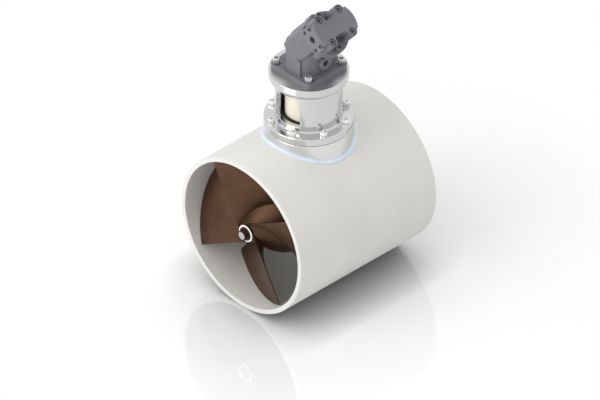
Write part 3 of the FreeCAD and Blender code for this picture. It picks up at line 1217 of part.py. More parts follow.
def main():
    front_bearing = (FRONT_BEARING_RADIUS, front_bearing_front(), BEARING_WIDTH, X_AXIS)
    rear_bearing = (REAR_BEARING_RADIUS, REAR_BEARING_FRONT, REAR_BEARING_WIDTH, X_AXIS)
    lower_bearing = (DRIVE_BEARING_RADIUS, LOWER_BEARING_BOTTOM, DRIVE_BEARING_WIDTH, Z_AXIS)
    upper_bearing = (DRIVE_BEARING_RADIUS, UPPER_BEARING_BOTTOM, DRIVE_BEARING_WIDTH, Z_AXIS)
    motor_bearing = (MOTOR_BEARING_RADIUS, motor_bearing_bottom(), MOTOR_BEARING_WIDTH, Z_AXIS)
    bearings = (("front", front_bearing, SEAL_JOURNAL_RADIUS), ("rear", rear_bearing, TAIL_JOURNAL_RADIUS),
                ("lower", lower_bearing, DRIVE_JOURNAL_RADIUS), ("upper", upper_bearing, DRIVE_JOURNAL_RADIUS),
                ("motor", motor_bearing, MOTOR_JOURNAL_RADIUS))
    for name, (radius, start, width, axis), bore in bearings:
        save(name + "_bearing_outer", bearing_outer(radius, start, width, axis))
        save(name + "_bearing_inner", bearing_inner(radius, bore, start, width, axis))

    save("tunnel_tube", make_tunnel())
    save("saddle_sealant", make_sealant())
    save("saddle_seat", make_seat())
    save("leg_screws", make_leg_screws())
    save("bell_gasket", make_bell_gasket())
    save("bell_housing", make_bell())
    save("bell_flange_screws", make_bell_screws())

    save("gear_leg", make_gear_leg())
    save("leg_gasket", make_leg_gasket())
    save("front_carrier", make_front_carrier())
    save("carrier_screws", make_carrier_screws())
    flange = POD_FRONT - CARRIER_FLANGE_THICKNESS
    save("propeller_seal", lip_seal(SEAL_RADIUS, SEAL_SLEEVE_RADIUS, flange, SEAL_WIDTH, X_AXIS))
    save("housing_o_rings", make_o_rings())
    save("tail_cap", make_tail_cap())
    save("tail_cap_screws", make_tail_screws())
    save("drain_plug", make_drain_plug())

    save("propeller_shaft", make_propeller_shaft())
    save("seal_sleeve", make_seal_sleeve())
    save("gear_spacer", make_gear_spacer())
    save("gear_key", gear_key_shape())
    save("bevel_gear", make_bevel_gear())
    save("rear_bearing_nut", make_rear_nut())
    save("propeller_key", propeller_key_shape())
    save("propeller", make_propeller())
    save("propeller_washer", make_propeller_washer())
    save("propeller_nut", make_propeller_nut())

    save("bearing_cartridge", make_cartridge())
    save("cartridge_screws", make_cartridge_screws())
    save("bearing_snap_ring", make_snap_ring())
    seal = lip_seal(DRIVE_BEARING_RADIUS, DRIVE_SHAFT_RADIUS, cartridge_top() - SEAL_WIDTH, SEAL_WIDTH, Z_AXIS)
    save("drive_seal", seal)
    save("drive_shaft", make_drive_shaft())
    save("bevel_pinion", make_bevel_pinion())
    save("pinion_key", pinion_key_shape())
    save("pinion_retainer", make_pinion_retainer())
    save("pinion_screw", make_pinion_screw())
    save("drive_spacer", make_drive_spacer())
    save("drive_shaft_nut", make_drive_nut())
    save("lower_coupling_hub", make_lower_hub())
    save("coupling_sleeve", make_sleeve())
    save("upper_coupling_hub", make_upper_hub())
    save("hub_keys", make_hub_keys())

    save("motor_shaft", make_motor_shaft())
    seal = lip_seal(MOTOR_SEAL_RADIUS, MOTOR_JOURNAL_RADIUS, motor_seal_bottom(), MOTOR_SEAL_WIDTH, Z_AXIS)
    save("motor_seal", seal)
    save("motor_housing", make_motor_housing())
    save("motor_end_cap", make_end_cap())
    save("motor_end_cap_screws", make_end_cap_screws())
    save("motor_mount_screws", make_motor_screws())
    save("motor_mount_washers", make_motor_washers())


main()
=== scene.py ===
import math

import bmesh
import bpy
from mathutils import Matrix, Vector


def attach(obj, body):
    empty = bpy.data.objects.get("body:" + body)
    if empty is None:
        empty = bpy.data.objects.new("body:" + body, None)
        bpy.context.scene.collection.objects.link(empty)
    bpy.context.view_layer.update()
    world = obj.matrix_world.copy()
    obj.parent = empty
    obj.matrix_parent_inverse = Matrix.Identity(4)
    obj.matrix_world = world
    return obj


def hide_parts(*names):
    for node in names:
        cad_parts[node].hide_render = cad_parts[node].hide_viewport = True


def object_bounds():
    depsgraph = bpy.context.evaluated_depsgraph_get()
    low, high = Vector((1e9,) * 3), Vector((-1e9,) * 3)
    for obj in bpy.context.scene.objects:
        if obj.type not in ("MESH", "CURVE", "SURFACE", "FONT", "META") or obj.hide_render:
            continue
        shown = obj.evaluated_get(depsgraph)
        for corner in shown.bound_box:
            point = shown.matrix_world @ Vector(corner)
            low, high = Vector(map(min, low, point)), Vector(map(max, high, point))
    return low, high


# Camera: the photograph's viewing angle, and where the frame's origin lies in its picture.
PICTURE = (600, 400)
AZIMUTH = math.radians(-44.09)
ELEVATION = math.radians(35.88)
ORIGIN_PIXEL = (308.95, 197.6)
PIXELS_PER_METRE = 404.7
CAMERA_DISTANCE = 6.0

# Studio floor, sizes in metres: polished board with a painted shadow that darkens it under the part; it
# fades to white far from it.
FLOOR_RADIUS = 5.0
FLOOR_CLEAR = 0.0004
FLOOR_FADE = (0.45, 0.95)
FLOOR_GREY = 0.91
FLOOR_GREY_UNSEEN = 0.86
FLOOR_POLISH = 0.14
FLOOR_POLISH_ROUGHNESS = 0.035
# Painted shadow: within this reach of the part the camera sees the board blend towards this dark grey, by
# this power.
CONTACT_REACH = 0.13
CONTACT_SHADOW_GREY = 0.22
CONTACT_POWER = 1.2

# Studio light: the white surround's strength in three places, and one soft lamp.
AIR_AT_HORIZON = 0.42
AIR_OVERHEAD = 1.24
MIRROR_LEVEL = 1.0
LAMP_SPOT = (-2.7, 0.5, 1.5)
LAMP_SIZE = 2.0
LAMP_POWER = 40.0
DIFFUSE_BOUNCES = 3

# Colours are linear. A pair is what a cloudy surface wanders between, the darker one first.
WHITE = (1, 1, 1, 1)
GELCOAT = ((0.700, 0.690, 0.652, 1), (0.742, 0.734, 0.700, 1))
GELCOAT_SPECK = (0.55, 0.54, 0.50, 1)
PROPELLER_BRONZE = ((0.086, 0.046, 0.028, 1), (0.114, 0.062, 0.037, 1))
# The nut's bronze is a darker copy of the propeller's: painted shade.
SHADED_NUT_BRONZE = ((0.045, 0.025, 0.016, 1), (0.075, 0.041, 0.026, 1))
LEG_BRONZE = ((0.105, 0.066, 0.040, 1), (0.150, 0.096, 0.060, 1))
# Lighter bronze edges: partly wear, partly a painted highlight.
BRONZE_EDGE_WEAR_AND_HIGHLIGHT = (0.30, 0.17, 0.10, 1)
MOTOR_GREY = ((0.150, 0.152, 0.170, 1), (0.178, 0.180, 0.200, 1))
# Lighter motor edges: partly worn paint, partly a painted highlight.
MOTOR_EDGE_WEAR_AND_HIGHLIGHT = (0.30, 0.30, 0.31, 1)
BELL_STEEL = (0.63, 0.63, 0.63, 1)
SEAT_STEEL = (0.73, 0.73, 0.725, 1)
GROUND_STEEL = (0.52, 0.52, 0.53, 1)
DRIVE_STEEL = (0.50, 0.50, 0.51, 1)
SEALANT_BLUE = (0.73, 0.83, 0.95, 1)
NYLON_CREAM = (0.90, 0.845, 0.70, 1)
ZINC_WHITE = (0.93, 0.915, 0.89, 1)
IRON_BLACK = (0.022, 0.022, 0.024, 1)
RUBBER_BLACK = (0.020, 0.020, 0.021, 1)
GASKET_GREY = (0.17, 0.18, 0.175, 1)

# Rays that look round each point for a near edge or a near piece.
EDGE_RAYS = 8
CONTACT_RAYS = 8

# Most of a noise lies in this range.
NOISE_RANGE = (0.3, 0.7)

# Edge wear and a painted edge highlight show in patches, where an edge's softened and flat normals part by
# these cosines.
EDGE_WEAR_AND_HIGHLIGHT_COSINES = (0.985, 0.85)
EDGE_WEAR_AND_HIGHLIGHT_PATCH = 0.006
EDGE_WEAR_AND_HIGHLIGHT_BREAKS = (0.38, 0.60)

# Above each height the bell's roughness changes by the second value: over its foot flange, then on its top.
BELL_BANDS = ((0.257, -0.02), (0.3945, 0.26))
BAND_BLUR = 0.0005

# Which CAD nodes wear which finish.
NODE_FINISHES = {
    "white_gelcoat": ("tunnel_tube",),
    "pale_sealant": ("saddle_sealant",),
    "bell_steel": ("bell_housing",),
    "seat_steel": ("saddle_seat",),
    "propeller_bronze": ("propeller", "propeller_nut"),
    "leg_bronze": ("gear_leg", "front_carrier", "tail_cap"),
    "motor_paint": ("motor_housing", "motor_end_cap", "motor_end_cap_screws"),
    "cream_nylon": ("coupling_sleeve",),
    "black_iron": ("lower_coupling_hub", "upper_coupling_hub"),
    "seal_rubber": ("propeller_seal", "housing_o_rings", "drive_seal", "motor_seal"),
    "gasket_sheet": ("bell_gasket", "leg_gasket"),
    "gear_steel": ("bevel_gear", "bevel_pinion"),
    "ground_steel": ("propeller_shaft", "seal_sleeve", "gear_spacer", "rear_bearing_nut", "gear_key",
                     "propeller_key"),
    "drive_steel": ("drive_shaft", "motor_shaft", "drive_spacer", "drive_shaft_nut", "pinion_retainer",
                    "pinion_key", "hub_keys", "bearing_cartridge"),
    "bearing_steel": ("bearing_snap_ring", "front_bearing_outer", "front_bearing_inner",
                      "rear_bearing_outer", "rear_bearing_inner", "lower_bearing_outer",
                      "lower_bearing_inner", "upper_bearing_outer", "upper_bearing_inner",
                      "motor_bearing_outer", "motor_bearing_inner"),
    "screw_steel": ("leg_screws", "bell_flange_screws", "carrier_screws", "tail_cap_screws", "drain_plug",
                    "cartridge_screws", "motor_mount_screws", "motor_mount_washers", "pinion_screw"),
    "zinc_washer": ("propeller_washer",),
}

# Where the X and Z axes stand in a point's coordinates.
X, Z = 0, 2

# Sizes from here on are in metres. Two places nearer than CLOSE count as one.
CLOSE = 0.0001
SMOOTH_ANGLE = math.radians(32)
HEXAGON = 6
RING_EDGES = 96
BORE_EDGES = 64

# The rings of screws stand where the solids have theirs. A screw turns by its angle on the circle times the
# twist, so that no two in a ring show the same side.
MOTOR_SCREWS = {"circle": 0.0800, "seat": 0.4145, "length": 0.038, "count": 4}
BELL_SCREWS = {"circle": 0.0997, "seat": 0.2560, "length": 0.041, "count": 8}
SCREW_TWIST = 3.7

# A screw. The heights in its head are shares of the head's height, counted from the seat. A step draws a
# level face out: from which height, by how much, and how far it narrows. The seat's radius is a share of the
# head's, and the shank's tip a share of its length.
HEAD_RADIUS = 0.0090
HEAD_HEIGHT = 0.0120
HEAD_FLATS = 0.0100
SOCKET_ROUND = 0.0006
KNURL_EDGES = 72
KNURL_BAND = (0.08, 0.80)
KNURL_GROOVE = 0.94
HEAD_STEPS = ((0.80, 0.14, 0.97), (0.94, 0.06, 0.93), (0.08, -0.08, 0.95))
SEAT_SHARE = 0.92
SHANK_RADIUS = 0.0060
SHANK_TIP = 0.04
SHANK_TIP_NARROW = 0.8

# The propeller's fastening, from the hub outwards. Faces are places along X. Spacer, washer and nut together
# are as long as the solids' washer and nut, but are divided as in the photograph. The thread is added.
SHAFT_RADIUS = 0.0120
HUB_FACE = -0.2105
SPACER_FACE = -0.2168
SPACER_RADIUS = 0.0226
WASHER_FACE = -0.2184
WASHER_RADIUS = 0.0230
RING_CLEARANCE = 0.0002
RING_ROUND = 0.0004
NUT_COLLAR_FACE = -0.2205
NUT_COLLAR_RADIUS = 0.0184
NUT_COLLAR_ROUND = 0.0005
NUT_FACE = -0.2290
NUT_CORNER_RADIUS = 0.0155
NUT_CLEARANCE = 0.0001
NUT_ROUND = 0.0012
THREAD_FACE = -0.2322
THREAD_RADIUS = 0.01225
THREAD_ROUND = 0.0012
SHAFT_CENTRE_RADIUS = 0.0104

# The small plug on the motor's left face, which the solids don't have. Its ends lie on either side of that
# face.
PLUG_SPOT = (-0.0600, -0.0426, 0.5307)
PLUG_ENDS = (-0.0008, 0.0010)
PLUG_EDGES = 32
PLUG_RADIUS = 0.0035
PLUG_ROUND = 0.0004
PLUG_SOCKET_ENDS = (-0.0020, -0.0001)
PLUG_SOCKET_SHARE = 0.55
PLUG_SOCKET_ROUND = 0.0002


def place_camera():
    """The photograph has no perspective, so its camera has none."""
    back = Vector((math.sin(AZIMUTH) * math.cos(ELEVATION), -math.cos(AZIMUTH) * math.cos(ELEVATION),
                   math.sin(ELEVATION)))
    turn = back.to_track_quat("Z", "Y")
    right, up = turn @ Vector((1, 0, 0)), turn @ Vector((0, 1, 0))
    target = right * (PICTURE[0] / 2 - ORIGIN_PIXEL[0]) + up * (ORIGIN_PIXEL[1] - PICTURE[1] / 2)
    target /= PIXELS_PER_METRE
    bpy.ops.object.camera_add(location=target + back * CAMERA_DISTANCE, rotation=turn.to_euler())
    camera = bpy.context.object
    camera.data.type = "ORTHO"
    camera.data.ortho_scale = PICTURE[0] / PIXELS_PER_METRE
    camera.data.clip_end = CAMERA_DISTANCE * 3
    bpy.context.scene.camera = camera


class Signal:
    """A shader socket that can be used in sums like a number."""

    def __init__(self, wiring, socket):
        self.wiring = wiring
        self.socket = socket

    def __add__(self, other):
        return self.wiring.maths("ADD", self, other)

    def __rsub__(self, other):
        return self.wiring.maths("SUBTRACT", other, self)

    def __mul__(self, other):
        return self.wiring.maths("MULTIPLY", self, other)

    def __pow__(self, other):
        return self.wiring.maths("POWER", self, other)


class Wiring:
    """The nodes of a material or of the world."""

    def __init__(self, tree):
        self.tree = tree

    def feed(self, socket, value):
        """Links a signal to a socket, or sets the socket's own value."""
        if isinstance(value, Signal):
            self.tree.links.new(value.socket, socket)
        else:
            socket.default_value = value

    def node(self, kind, settings=None, inputs=None, output=0):
        """Adds a node with its settings and the values or links of its sockets."""
        node = self.tree.nodes.new("ShaderNode" + kind)
        for name, value in (settings or {}).items():
            setattr(node, name, value)
        for name, value in (inputs or {}).items():
            self.feed(node.inputs[name], value)
        return Signal(self, node.outputs[output])

    def maths(self, operation, first, second):
        return self.node("Math", {"operation": operation}, {0: first, 1: second})

    def between(self, value, low, high, start=0.0, end=1.0):
        """Maps a signal's range onto another range."""
        return self.node("MapRange", None, {"Value": value, "From Min": low, "From Max": high,
                                            "To Min": start, "To Max": end})

    def mix_shaders(self, factor, first, second):
        return self.node("MixShader", None, {0: factor, 1: first, 2: second})


class Finish(Wiring):
    """A node material with one Principled shader."""

    def __init__(self, name):
        self.material = bpy.data.materials.new(name)
        self.material.use_nodes = True
        super().__init__(self.material.node_tree)
        self.tree.nodes.clear()
        self.surface = self.tree.nodes.new("ShaderNodeBsdfPrincipled")
        self.output = self.tree.nodes.new("ShaderNodeOutputMaterial")
        self.tree.links.new(self.surface.outputs[0], self.output.inputs["Surface"])

    def shine(self, **inputs):
        """Sets the shader's sockets. Underscores stand for spaces."""
        for name, value in inputs.items():
            self.feed(self.surface.inputs[name.replace("_", " ")], value)

    def place(self):
        """The point on the piece in its own coordinates, in metres."""
        return self.node("TexCoord", output="Object")

    def noise(self, size, detail=2.0, roughness=0.5, where=None):
        """Noise whose patches are about one size across, in metres."""
        where = where or self.place()
        return self.node("TexNoise", None, {"Vector": where, "Scale": 1.0 / size, "Detail": detail,
                                            "Roughness": roughness})

    def cloud(self, size, detail=3.0, roughness=0.5, spread=0.15):
        """Soft patches from 0 to 1. A small spread makes them stand out."""
        return self.between(self.noise(size, detail, roughness), 0.5 - spread, 0.5 + spread)

    def vary(self, noise, low, high):
        """A value that wanders between two with the noise."""
        return self.between(noise, *NOISE_RANGE, low, high)

    def blend(self, factor, first, second):
        """Mixes two colours. Of the node's many sockets 6, 7 and 2 are the ones for colours."""
        mix = self.tree.nodes.new("ShaderNodeMix")
        mix.data_type = "RGBA"
        self.feed(mix.inputs["Factor"], factor)
        self.feed(mix.inputs[6], first)
        self.feed(mix.inputs[7], second)
        return Signal(self, mix.outputs[2])

    def relief(self, height, depth, under):
        """A bump of a depth in metres, on top of other normals."""
        return self.node("Bump", None, {"Height": height, "Distance": depth, "Strength": 1.0,
                                        "Normal": under})

    def soft_edges(self, radius):
        """Normals that round a piece's sharp edges."""
        return self.node("Bevel", {"samples": EDGE_RAYS}, {"Radius": radius})

    def edge_wear_and_highlight(self, radius):
        """A signal that is 1 along a piece's sharp edges, broken up by noise: partly edge wear, partly a
        painted highlight.
        """
        flat = self.node("NewGeometry", output="Normal")
        soft = self.soft_edges(radius)
        facing = self.node("VectorMath", {"operation": "DOT_PRODUCT"}, {0: soft, 1: flat}, "Value")
        edge = self.between(facing, *EDGE_WEAR_AND_HIGHLIGHT_COSINES)
        return edge * self.between(self.noise(EDGE_WEAR_AND_HIGHLIGHT_PATCH, detail=3.0), *EDGE_WEAR_AND_HIGHLIGHT_BREAKS)

    def across(self, axis):
        """Distance from the X or Z axis, and the place along it."""
        node = self.node("SeparateXYZ", None, {"Vector": self.place()}).socket.node
        x, y, z = (Signal(self, output) for output in node.outputs)
        along, side = {"X": (x, z), "Z": (z, x)}[axis]
        return (y * y + side * side) ** 0.5, along


def shade(value, warm=0.0):
    """A grey, or a slightly warm one, as a linear colour."""
    return (value * (1 + warm), value, value * (1 - warm), 1.0)


def darkened(colour, share):
    """A colour with a share of its brightness."""
    return tuple(part * share for part in colour[:3]) + (1,)


def gelcoat(name):
    """Moulded white gelcoat: satin, faintly uneven, with an orange-peel skin."""
    finish = Finish(name)
    colour = finish.blend(finish.cloud(0.16), *GELCOAT)
    speck = finish.between(finish.noise(0.0035), low=0.70, high=0.78)
    colour = finish.blend(speck * 0.10, colour, GELCOAT_SPECK)
    peel = finish.noise(0.0035, detail=1.0)
    wave = finish.noise(0.055)
    finish.shine(Base_Color=colour, Roughness=finish.vary(wave, 0.34, 0.44),
                 Normal=finish.relief(peel * 0.3 + wave, depth=0.0006, under=finish.soft_edges(0.0015)))
    return finish.material


def cast_bronze(name, dark, light):
    """Dull brown bronze: cloudy tarnish, darker cast grain and bright edges, partly wear and partly a
    painted highlight.
    """
    finish = Finish(name)
    cloud = finish.cloud(0.045, detail=4.0, roughness=0.6)
    colour = finish.blend(cloud, dark, light)
    grain = finish.noise(0.0022, detail=3.0, roughness=0.7)
    pits = finish.between(grain, low=0.55, high=0.75)
    colour = finish.blend(pits * 0.30, colour, darkened(dark, 0.45))
    # Bright edges: partly wear, partly a painted highlight.
    colour = finish.blend(finish.edge_wear_and_highlight(0.0015) * 0.4, colour, BRONZE_EDGE_WEAR_AND_HIGHLIGHT)
    finish.shine(Base_Color=colour, Metallic=0.8, Specular_IOR_Level=0.12,
                 Roughness=finish.between(cloud + grain * 0.4, low=0.1, high=1.2, start=0.40, end=0.54),
                 Normal=finish.relief(grain, depth=0.00035, under=finish.soft_edges(0.0015)))
    return finish.material


def turned_steel(name, colour, roughness, axis, edge=0.0012, bands=(), ring_depth=0.00001):
    """Polished steel with the fine rings left by the lathe. A band changes its polish above a height."""
    finish = Finish(name)
    radius, along = finish.across(axis)
    where = finish.node("CombineXYZ", None, {"X": radius, "Y": along, "Z": 0.0})
    rings = finish.noise(0.0007, detail=1.0, where=where)
    smear = finish.noise(0.03, detail=3.0)
    wander = finish.between(smear + rings * 0.4, low=0.4, high=1.0, start=0.8, end=1.3)
    for height, change in bands:
        above = finish.between(along, height - BAND_BLUR, height + BAND_BLUR)
        roughness = above * change + roughness
    finish.shine(Base_Color=colour, Metallic=1.0, Roughness=wander * roughness,
                 Normal=finish.relief(rings, depth=ring_depth, under=finish.soft_edges(edge)))
    return finish.material


def bright_steel(name, value, roughness):
    """Small stainless parts: satin, with handling marks."""
    finish = Finish(name)
    marks = finish.noise(0.004, detail=4.0, roughness=0.65)
    finish.shine(Base_Color=shade(value, 0.01), Metallic=1.0,
                 Roughness=finish.vary(marks, roughness * 0.7, roughness * 1.4),
                 Normal=finish.soft_edges(0.0005))
    return finish.material


def motor_paint(name):
    """Dark grey paint over a sand casting, lighter at its edges: partly wear, partly a painted highlight."""
    finish = Finish(name)
    colour = finish.blend(finish.cloud(0.05), *MOTOR_GREY)
    # Lighter edges: partly worn paint, partly a painted highlight.
    colour = finish.blend(finish.edge_wear_and_highlight(0.002) * 0.35, colour, MOTOR_EDGE_WEAR_AND_HIGHLIGHT)
    sand = finish.noise(0.0018, roughness=0.6)
    finish.shine(Base_Color=colour, Roughness=finish.vary(sand, 0.42, 0.58),
                 Normal=finish.relief(sand, depth=0.00022, under=finish.soft_edges(0.0018)))
    return finish.material


def plain(name, colour, roughness, grain=0.001, depth=0.00005):
    """A plain moulded or blackened surface with a fine grain."""
    finish = Finish(name)
    cloud = finish.cloud(0.03, spread=0.2)
    skin = finish.noise(grain)
    finish.shine(Base_Color=finish.blend(cloud, darkened(colour, 0.88), colour),
                 Roughness=finish.vary(skin, roughness * 0.9, roughness * 1.15),
                 Normal=finish.relief(skin, depth=depth, under=finish.soft_edges(0.0006)))
    return finish.material


def make_finishes():
    """Makes every finish and gives them by name."""
    recipes = {
        "bell_steel": (turned_steel, dict(colour=BELL_STEEL, roughness=0.12, axis="Z", edge=0.0035,
                                          bands=BELL_BANDS)),
        "seat_steel": (turned_steel, dict(colour=SEAT_STEEL, roughness=0.22, axis="Z", edge=0.002,
                                          ring_depth=0.000001)),
        "ground_steel": (turned_steel, dict(colour=GROUND_STEEL, roughness=0.26, axis="X")),
        "drive_steel": (turned_steel, dict(colour=DRIVE_STEEL, roughness=0.28, axis="Z")),
        # Two copies of one screw steel: the dark one is painted shade, the pale one for the bell's foot
        # screws a painted highlight.
        "screw_steel": (bright_steel, dict(value=0.25, roughness=0.17)),
        "pale_screw_steel": (bright_steel, dict(value=0.84, roughness=0.30)),
        "bearing_steel": (bright_steel, dict(value=0.66, roughness=0.16)),
        "gear_steel": (bright_steel, dict(value=0.30, roughness=0.34)),
        "motor_paint": (motor_paint, dict()),
        "leg_bronze": (cast_bronze, dict(dark=LEG_BRONZE[0], light=LEG_BRONZE[1])),
        "black_iron": (plain, dict(colour=IRON_BLACK, roughness=0.42, grain=0.0012, depth=0.0001)),
        "seal_rubber": (plain, dict(colour=RUBBER_BLACK, roughness=0.55)),
        "gasket_sheet": (plain, dict(colour=GASKET_GREY, roughness=0.7)),
        "white_gelcoat": (gelcoat, dict()),
        "pale_sealant": (plain, dict(colour=SEALANT_BLUE, roughness=0.38, grain=0.004, depth=0.0002)),
        "propeller_bronze": (cast_bronze, dict(dark=PROPELLER_BRONZE[0], light=PROPELLER_BRONZE[1])),
        "cream_nylon": (plain, dict(colour=NYLON_CREAM, roughness=0.36, grain=0.0015, depth=0.00004)),
        "zinc_washer": (plain, dict(colour=ZINC_WHITE, roughness=0.30, grain=0.002, depth=0.00002)),
        "nut_bronze": (cast_bronze, dict(dark=SHADED_NUT_BRONZE[0], light=SHADED_NUT_BRONZE[1])),
    }
    return {name: make(name, **settings) for name, (make, settings) in recipes.items()}


def dress_nodes(nodes, finishes):
    """Gives every CAD node its finish."""
    for finish, names in NODE_FINISHES.items():
        for name in names:
            mesh = nodes[name].data
            mesh.materials.clear()
            mesh.materials.append(finishes[finish])


def leave_edit_mode():
    """Goes back to object mode with nothing selected."""
    if bpy.context.mode != "OBJECT":
        bpy.ops.object.mode_set(mode="OBJECT")
    bpy.ops.object.select_all(action="DESELECT")


def pillar(name, radius, ends, vertices, axis):
    """A cylinder between two places on the X or Z axis, in edit mode with nothing selected."""
    leave_edit_mode()
    middle = sum(ends) / 2
    spot, turn = {"Z": ((0, 0, middle), (0, 0, 0)), "X": ((middle, 0, 0), (0, math.pi / 2, 0))}[axis]
    bpy.ops.mesh.primitive_cylinder_add(vertices=vertices, radius=radius, depth=abs(ends[1] - ends[0]),
                                        location=spot, rotation=turn)
    piece = bpy.context.object
    piece.name = name
    bpy.ops.object.transform_apply(location=True, rotation=True, scale=True)
    bpy.ops.object.mode_set(mode="EDIT")
    bpy.ops.mesh.select_all(action="DESELECT")
    return piece


def pick(piece, kind, test):
    """Selects in edit mode only the faces or edges that pass a test."""
    bpy.ops.mesh.select_mode(type=kind)
    bpy.ops.mesh.select_all(action="DESELECT")
    mesh = bmesh.from_edit_mesh(piece.data)
    for part in {"FACE": mesh.faces, "EDGE": mesh.edges}[kind]:
        part.select_set(bool(test(part)))
    bmesh.update_edit_mesh(piece.data)


def span(edge, axis):
    """An edge's lowest and highest place along X or Z."""
    return sorted(end.co[axis] for end in edge.verts)


def level_at(height):
    """A test for the level faces at a height."""
    return lambda face: abs(face.normal.z) > 0.9 and abs(face.calc_center_median().z - height) < CLOSE


def is_groove(edge):
    """Every other upright edge of a screw's head."""
    low, high = span(edge, Z)
    corner = edge.verts[0].co
    step = round(math.atan2(corner.y, corner.x) * KNURL_EDGES / (2 * math.pi))
    return high - low > HEAD_HEIGHT / 2 and step % 2 == 1


def drill(piece, tool):
    """Cuts a tool's shape out of a piece and deletes the tool."""
    leave_edit_mode()
    bpy.context.view_layer.objects.active = piece
    piece.select_set(True)
    cut = piece.modifiers.new("cut", "BOOLEAN")
    cut.operation = "DIFFERENCE"
    cut.solver = "EXACT"
    cut.object = tool
    bpy.ops.object.modifier_apply(modifier=cut.name)
    bpy.data.objects.remove(tool)


def gather(name, pieces, material):
    """Joins pieces into one with smooth rounds and sharp corners, and gives it a material."""
    leave_edit_mode()
    for piece in pieces:
        piece.select_set(True)
    bpy.context.view_layer.objects.active = pieces[0]
    if len(pieces) > 1:
        bpy.ops.object.join()
    whole = bpy.context.object
    whole.name = name
    bpy.ops.object.transform_apply(location=True, rotation=True, scale=True)
    bpy.ops.object.shade_smooth_by_angle(angle=SMOOTH_ANGLE)
    bpy.ops.object.select_all(action="DESELECT")
    whole.data.materials.append(material)
    return whole


def knurled_screw(seat, length):
    """A socket screw on the Z axis: a knurled head with a rounded top, a hexagon socket and a shank."""
    low, high = (seat + HEAD_HEIGHT * share for share in KNURL_BAND)
    screw = pillar("screw", HEAD_RADIUS, (low, high), KNURL_EDGES, "Z")
    pick(screw, "EDGE", is_groove)
    bpy.ops.transform.resize(value=(KNURL_GROOVE, KNURL_GROOVE, 1), center_override=(0, 0, seat))
    for share, lift, narrow in HEAD_STEPS:
        pick(screw, "FACE", level_at(seat + HEAD_HEIGHT * share))
        bpy.ops.mesh.extrude_region_move(TRANSFORM_OT_translate={"value": (0, 0, lift * HEAD_HEIGHT)})
        bpy.ops.transform.resize(value=(narrow, narrow, 1), center_override=(0, 0, seat))
    pick(screw, "FACE", level_at(seat))
    bpy.ops.mesh.inset(thickness=HEAD_RADIUS * SEAT_SHARE - SHANK_RADIUS, depth=0)
    bpy.ops.mesh.extrude_region_move(TRANSFORM_OT_translate={"value": (0, 0, -length * (1 - SHANK_TIP))})
    bpy.ops.mesh.extrude_region_move(TRANSFORM_OT_translate={"value": (0, 0, -length * SHANK_TIP)})
    bpy.ops.transform.resize(value=(SHANK_TIP_NARROW, SHANK_TIP_NARROW, 1), center_override=(0, 0, seat))
    top = seat + HEAD_HEIGHT
    socket = pillar("socket", HEAD_FLATS / math.sqrt(3), (top - HEAD_HEIGHT / 2, top + HEAD_HEIGHT),
                    HEXAGON, "Z")
    pick(socket, "EDGE", lambda edge: span(edge, Z)[1] < top)
    bpy.ops.mesh.bevel(offset=SOCKET_ROUND, segments=1)
    drill(screw, socket)
    return screw


def ring_of_screws(name, node, material, circle, seat, length, count):
    """Copies a screw round a circle, each turned its own way, and stands them for the CAD node."""
    pattern = knurled_screw(seat, length)
    screws = []
    for k in range(count):
        screw = pattern.copy()
        screw.data = pattern.data.copy()
        bpy.context.collection.objects.link(screw)
        angle = 2 * math.pi * (k + 0.5) / count
        screw.location = (circle * math.cos(angle), circle * math.sin(angle), 0)
        screw.rotation_euler = (0, 0, angle * SCREW_TWIST)
        screws.append(screw)
    bpy.data.objects.remove(pattern)
    whole = gather(name, screws, material)
    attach(whole, "housing")
    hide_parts(node)


def round_rim(piece, face, size, segments=3):
    """Rounds the edges of a piece at its outermost face along X, the lowest one."""
    pick(piece, "EDGE", lambda edge: span(edge, X)[1] < face + CLOSE)
    bpy.ops.mesh.bevel(offset=size, segments=segments)


def bored_ring(name, radius, bore, ends, rounding):
    """A ring along X with a rounded front rim and a through bore."""
    ring = pillar(name, radius, ends, RING_EDGES, "X")
    front = min(ends)
    round_rim(ring, front, rounding)
    drill(ring, pillar("bore", bore, (2 * front, 0.0), BORE_EDGES, "X"))
    return ring


def collared_nut(bronze):
    """A hexagon nut with rounded corners and a round collar."""
    bore = SHAFT_RADIUS + NUT_CLEARANCE
    collar = bored_ring("collar", NUT_COLLAR_RADIUS, bore, (NUT_COLLAR_FACE, WASHER_FACE), NUT_COLLAR_ROUND)
    hexagon = pillar("hexagon", NUT_CORNER_RADIUS, (NUT_FACE, NUT_COLLAR_FACE), HEXAGON, "X")
    pick(hexagon, "EDGE", lambda edge: span(edge, X)[1] - span(edge, X)[0] > CLOSE)
    bpy.ops.mesh.bevel(offset=NUT_ROUND, segments=3)
    round_rim(hexagon, NUT_FACE, NUT_ROUND)
    drill(hexagon, pillar("nut_bore", bore, (2 * NUT_FACE, 0.0), BORE_EDGES, "X"))
    return gather("collared_nut", [hexagon, collar], bronze)


def propeller_fastening(bronze, zinc):
    """The bright washer in front of the hub, its spacer, the nut and the shaft's threaded end."""
    bore = SHAFT_RADIUS + RING_CLEARANCE
    washer = gather("bright_washer", [bored_ring("washer", WASHER_RADIUS, bore, (WASHER_FACE, SPACER_FACE),
                                                 RING_ROUND)], zinc)
    spacer = gather("hub_spacer", [bored_ring("spacer", SPACER_RADIUS, bore, (SPACER_FACE, HUB_FACE),
                                              RING_ROUND)], bronze)
    nut = collared_nut(bronze)
    thread = gather("shaft_thread", [bored_ring("thread", THREAD_RADIUS, SHAFT_CENTRE_RADIUS,
                                                (THREAD_FACE, NUT_FACE), THREAD_ROUND)], bronze)
    for piece in (washer, spacer, nut, thread):
        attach(piece, "propeller_line")
    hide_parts("propeller_washer")
    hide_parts("propeller_nut")


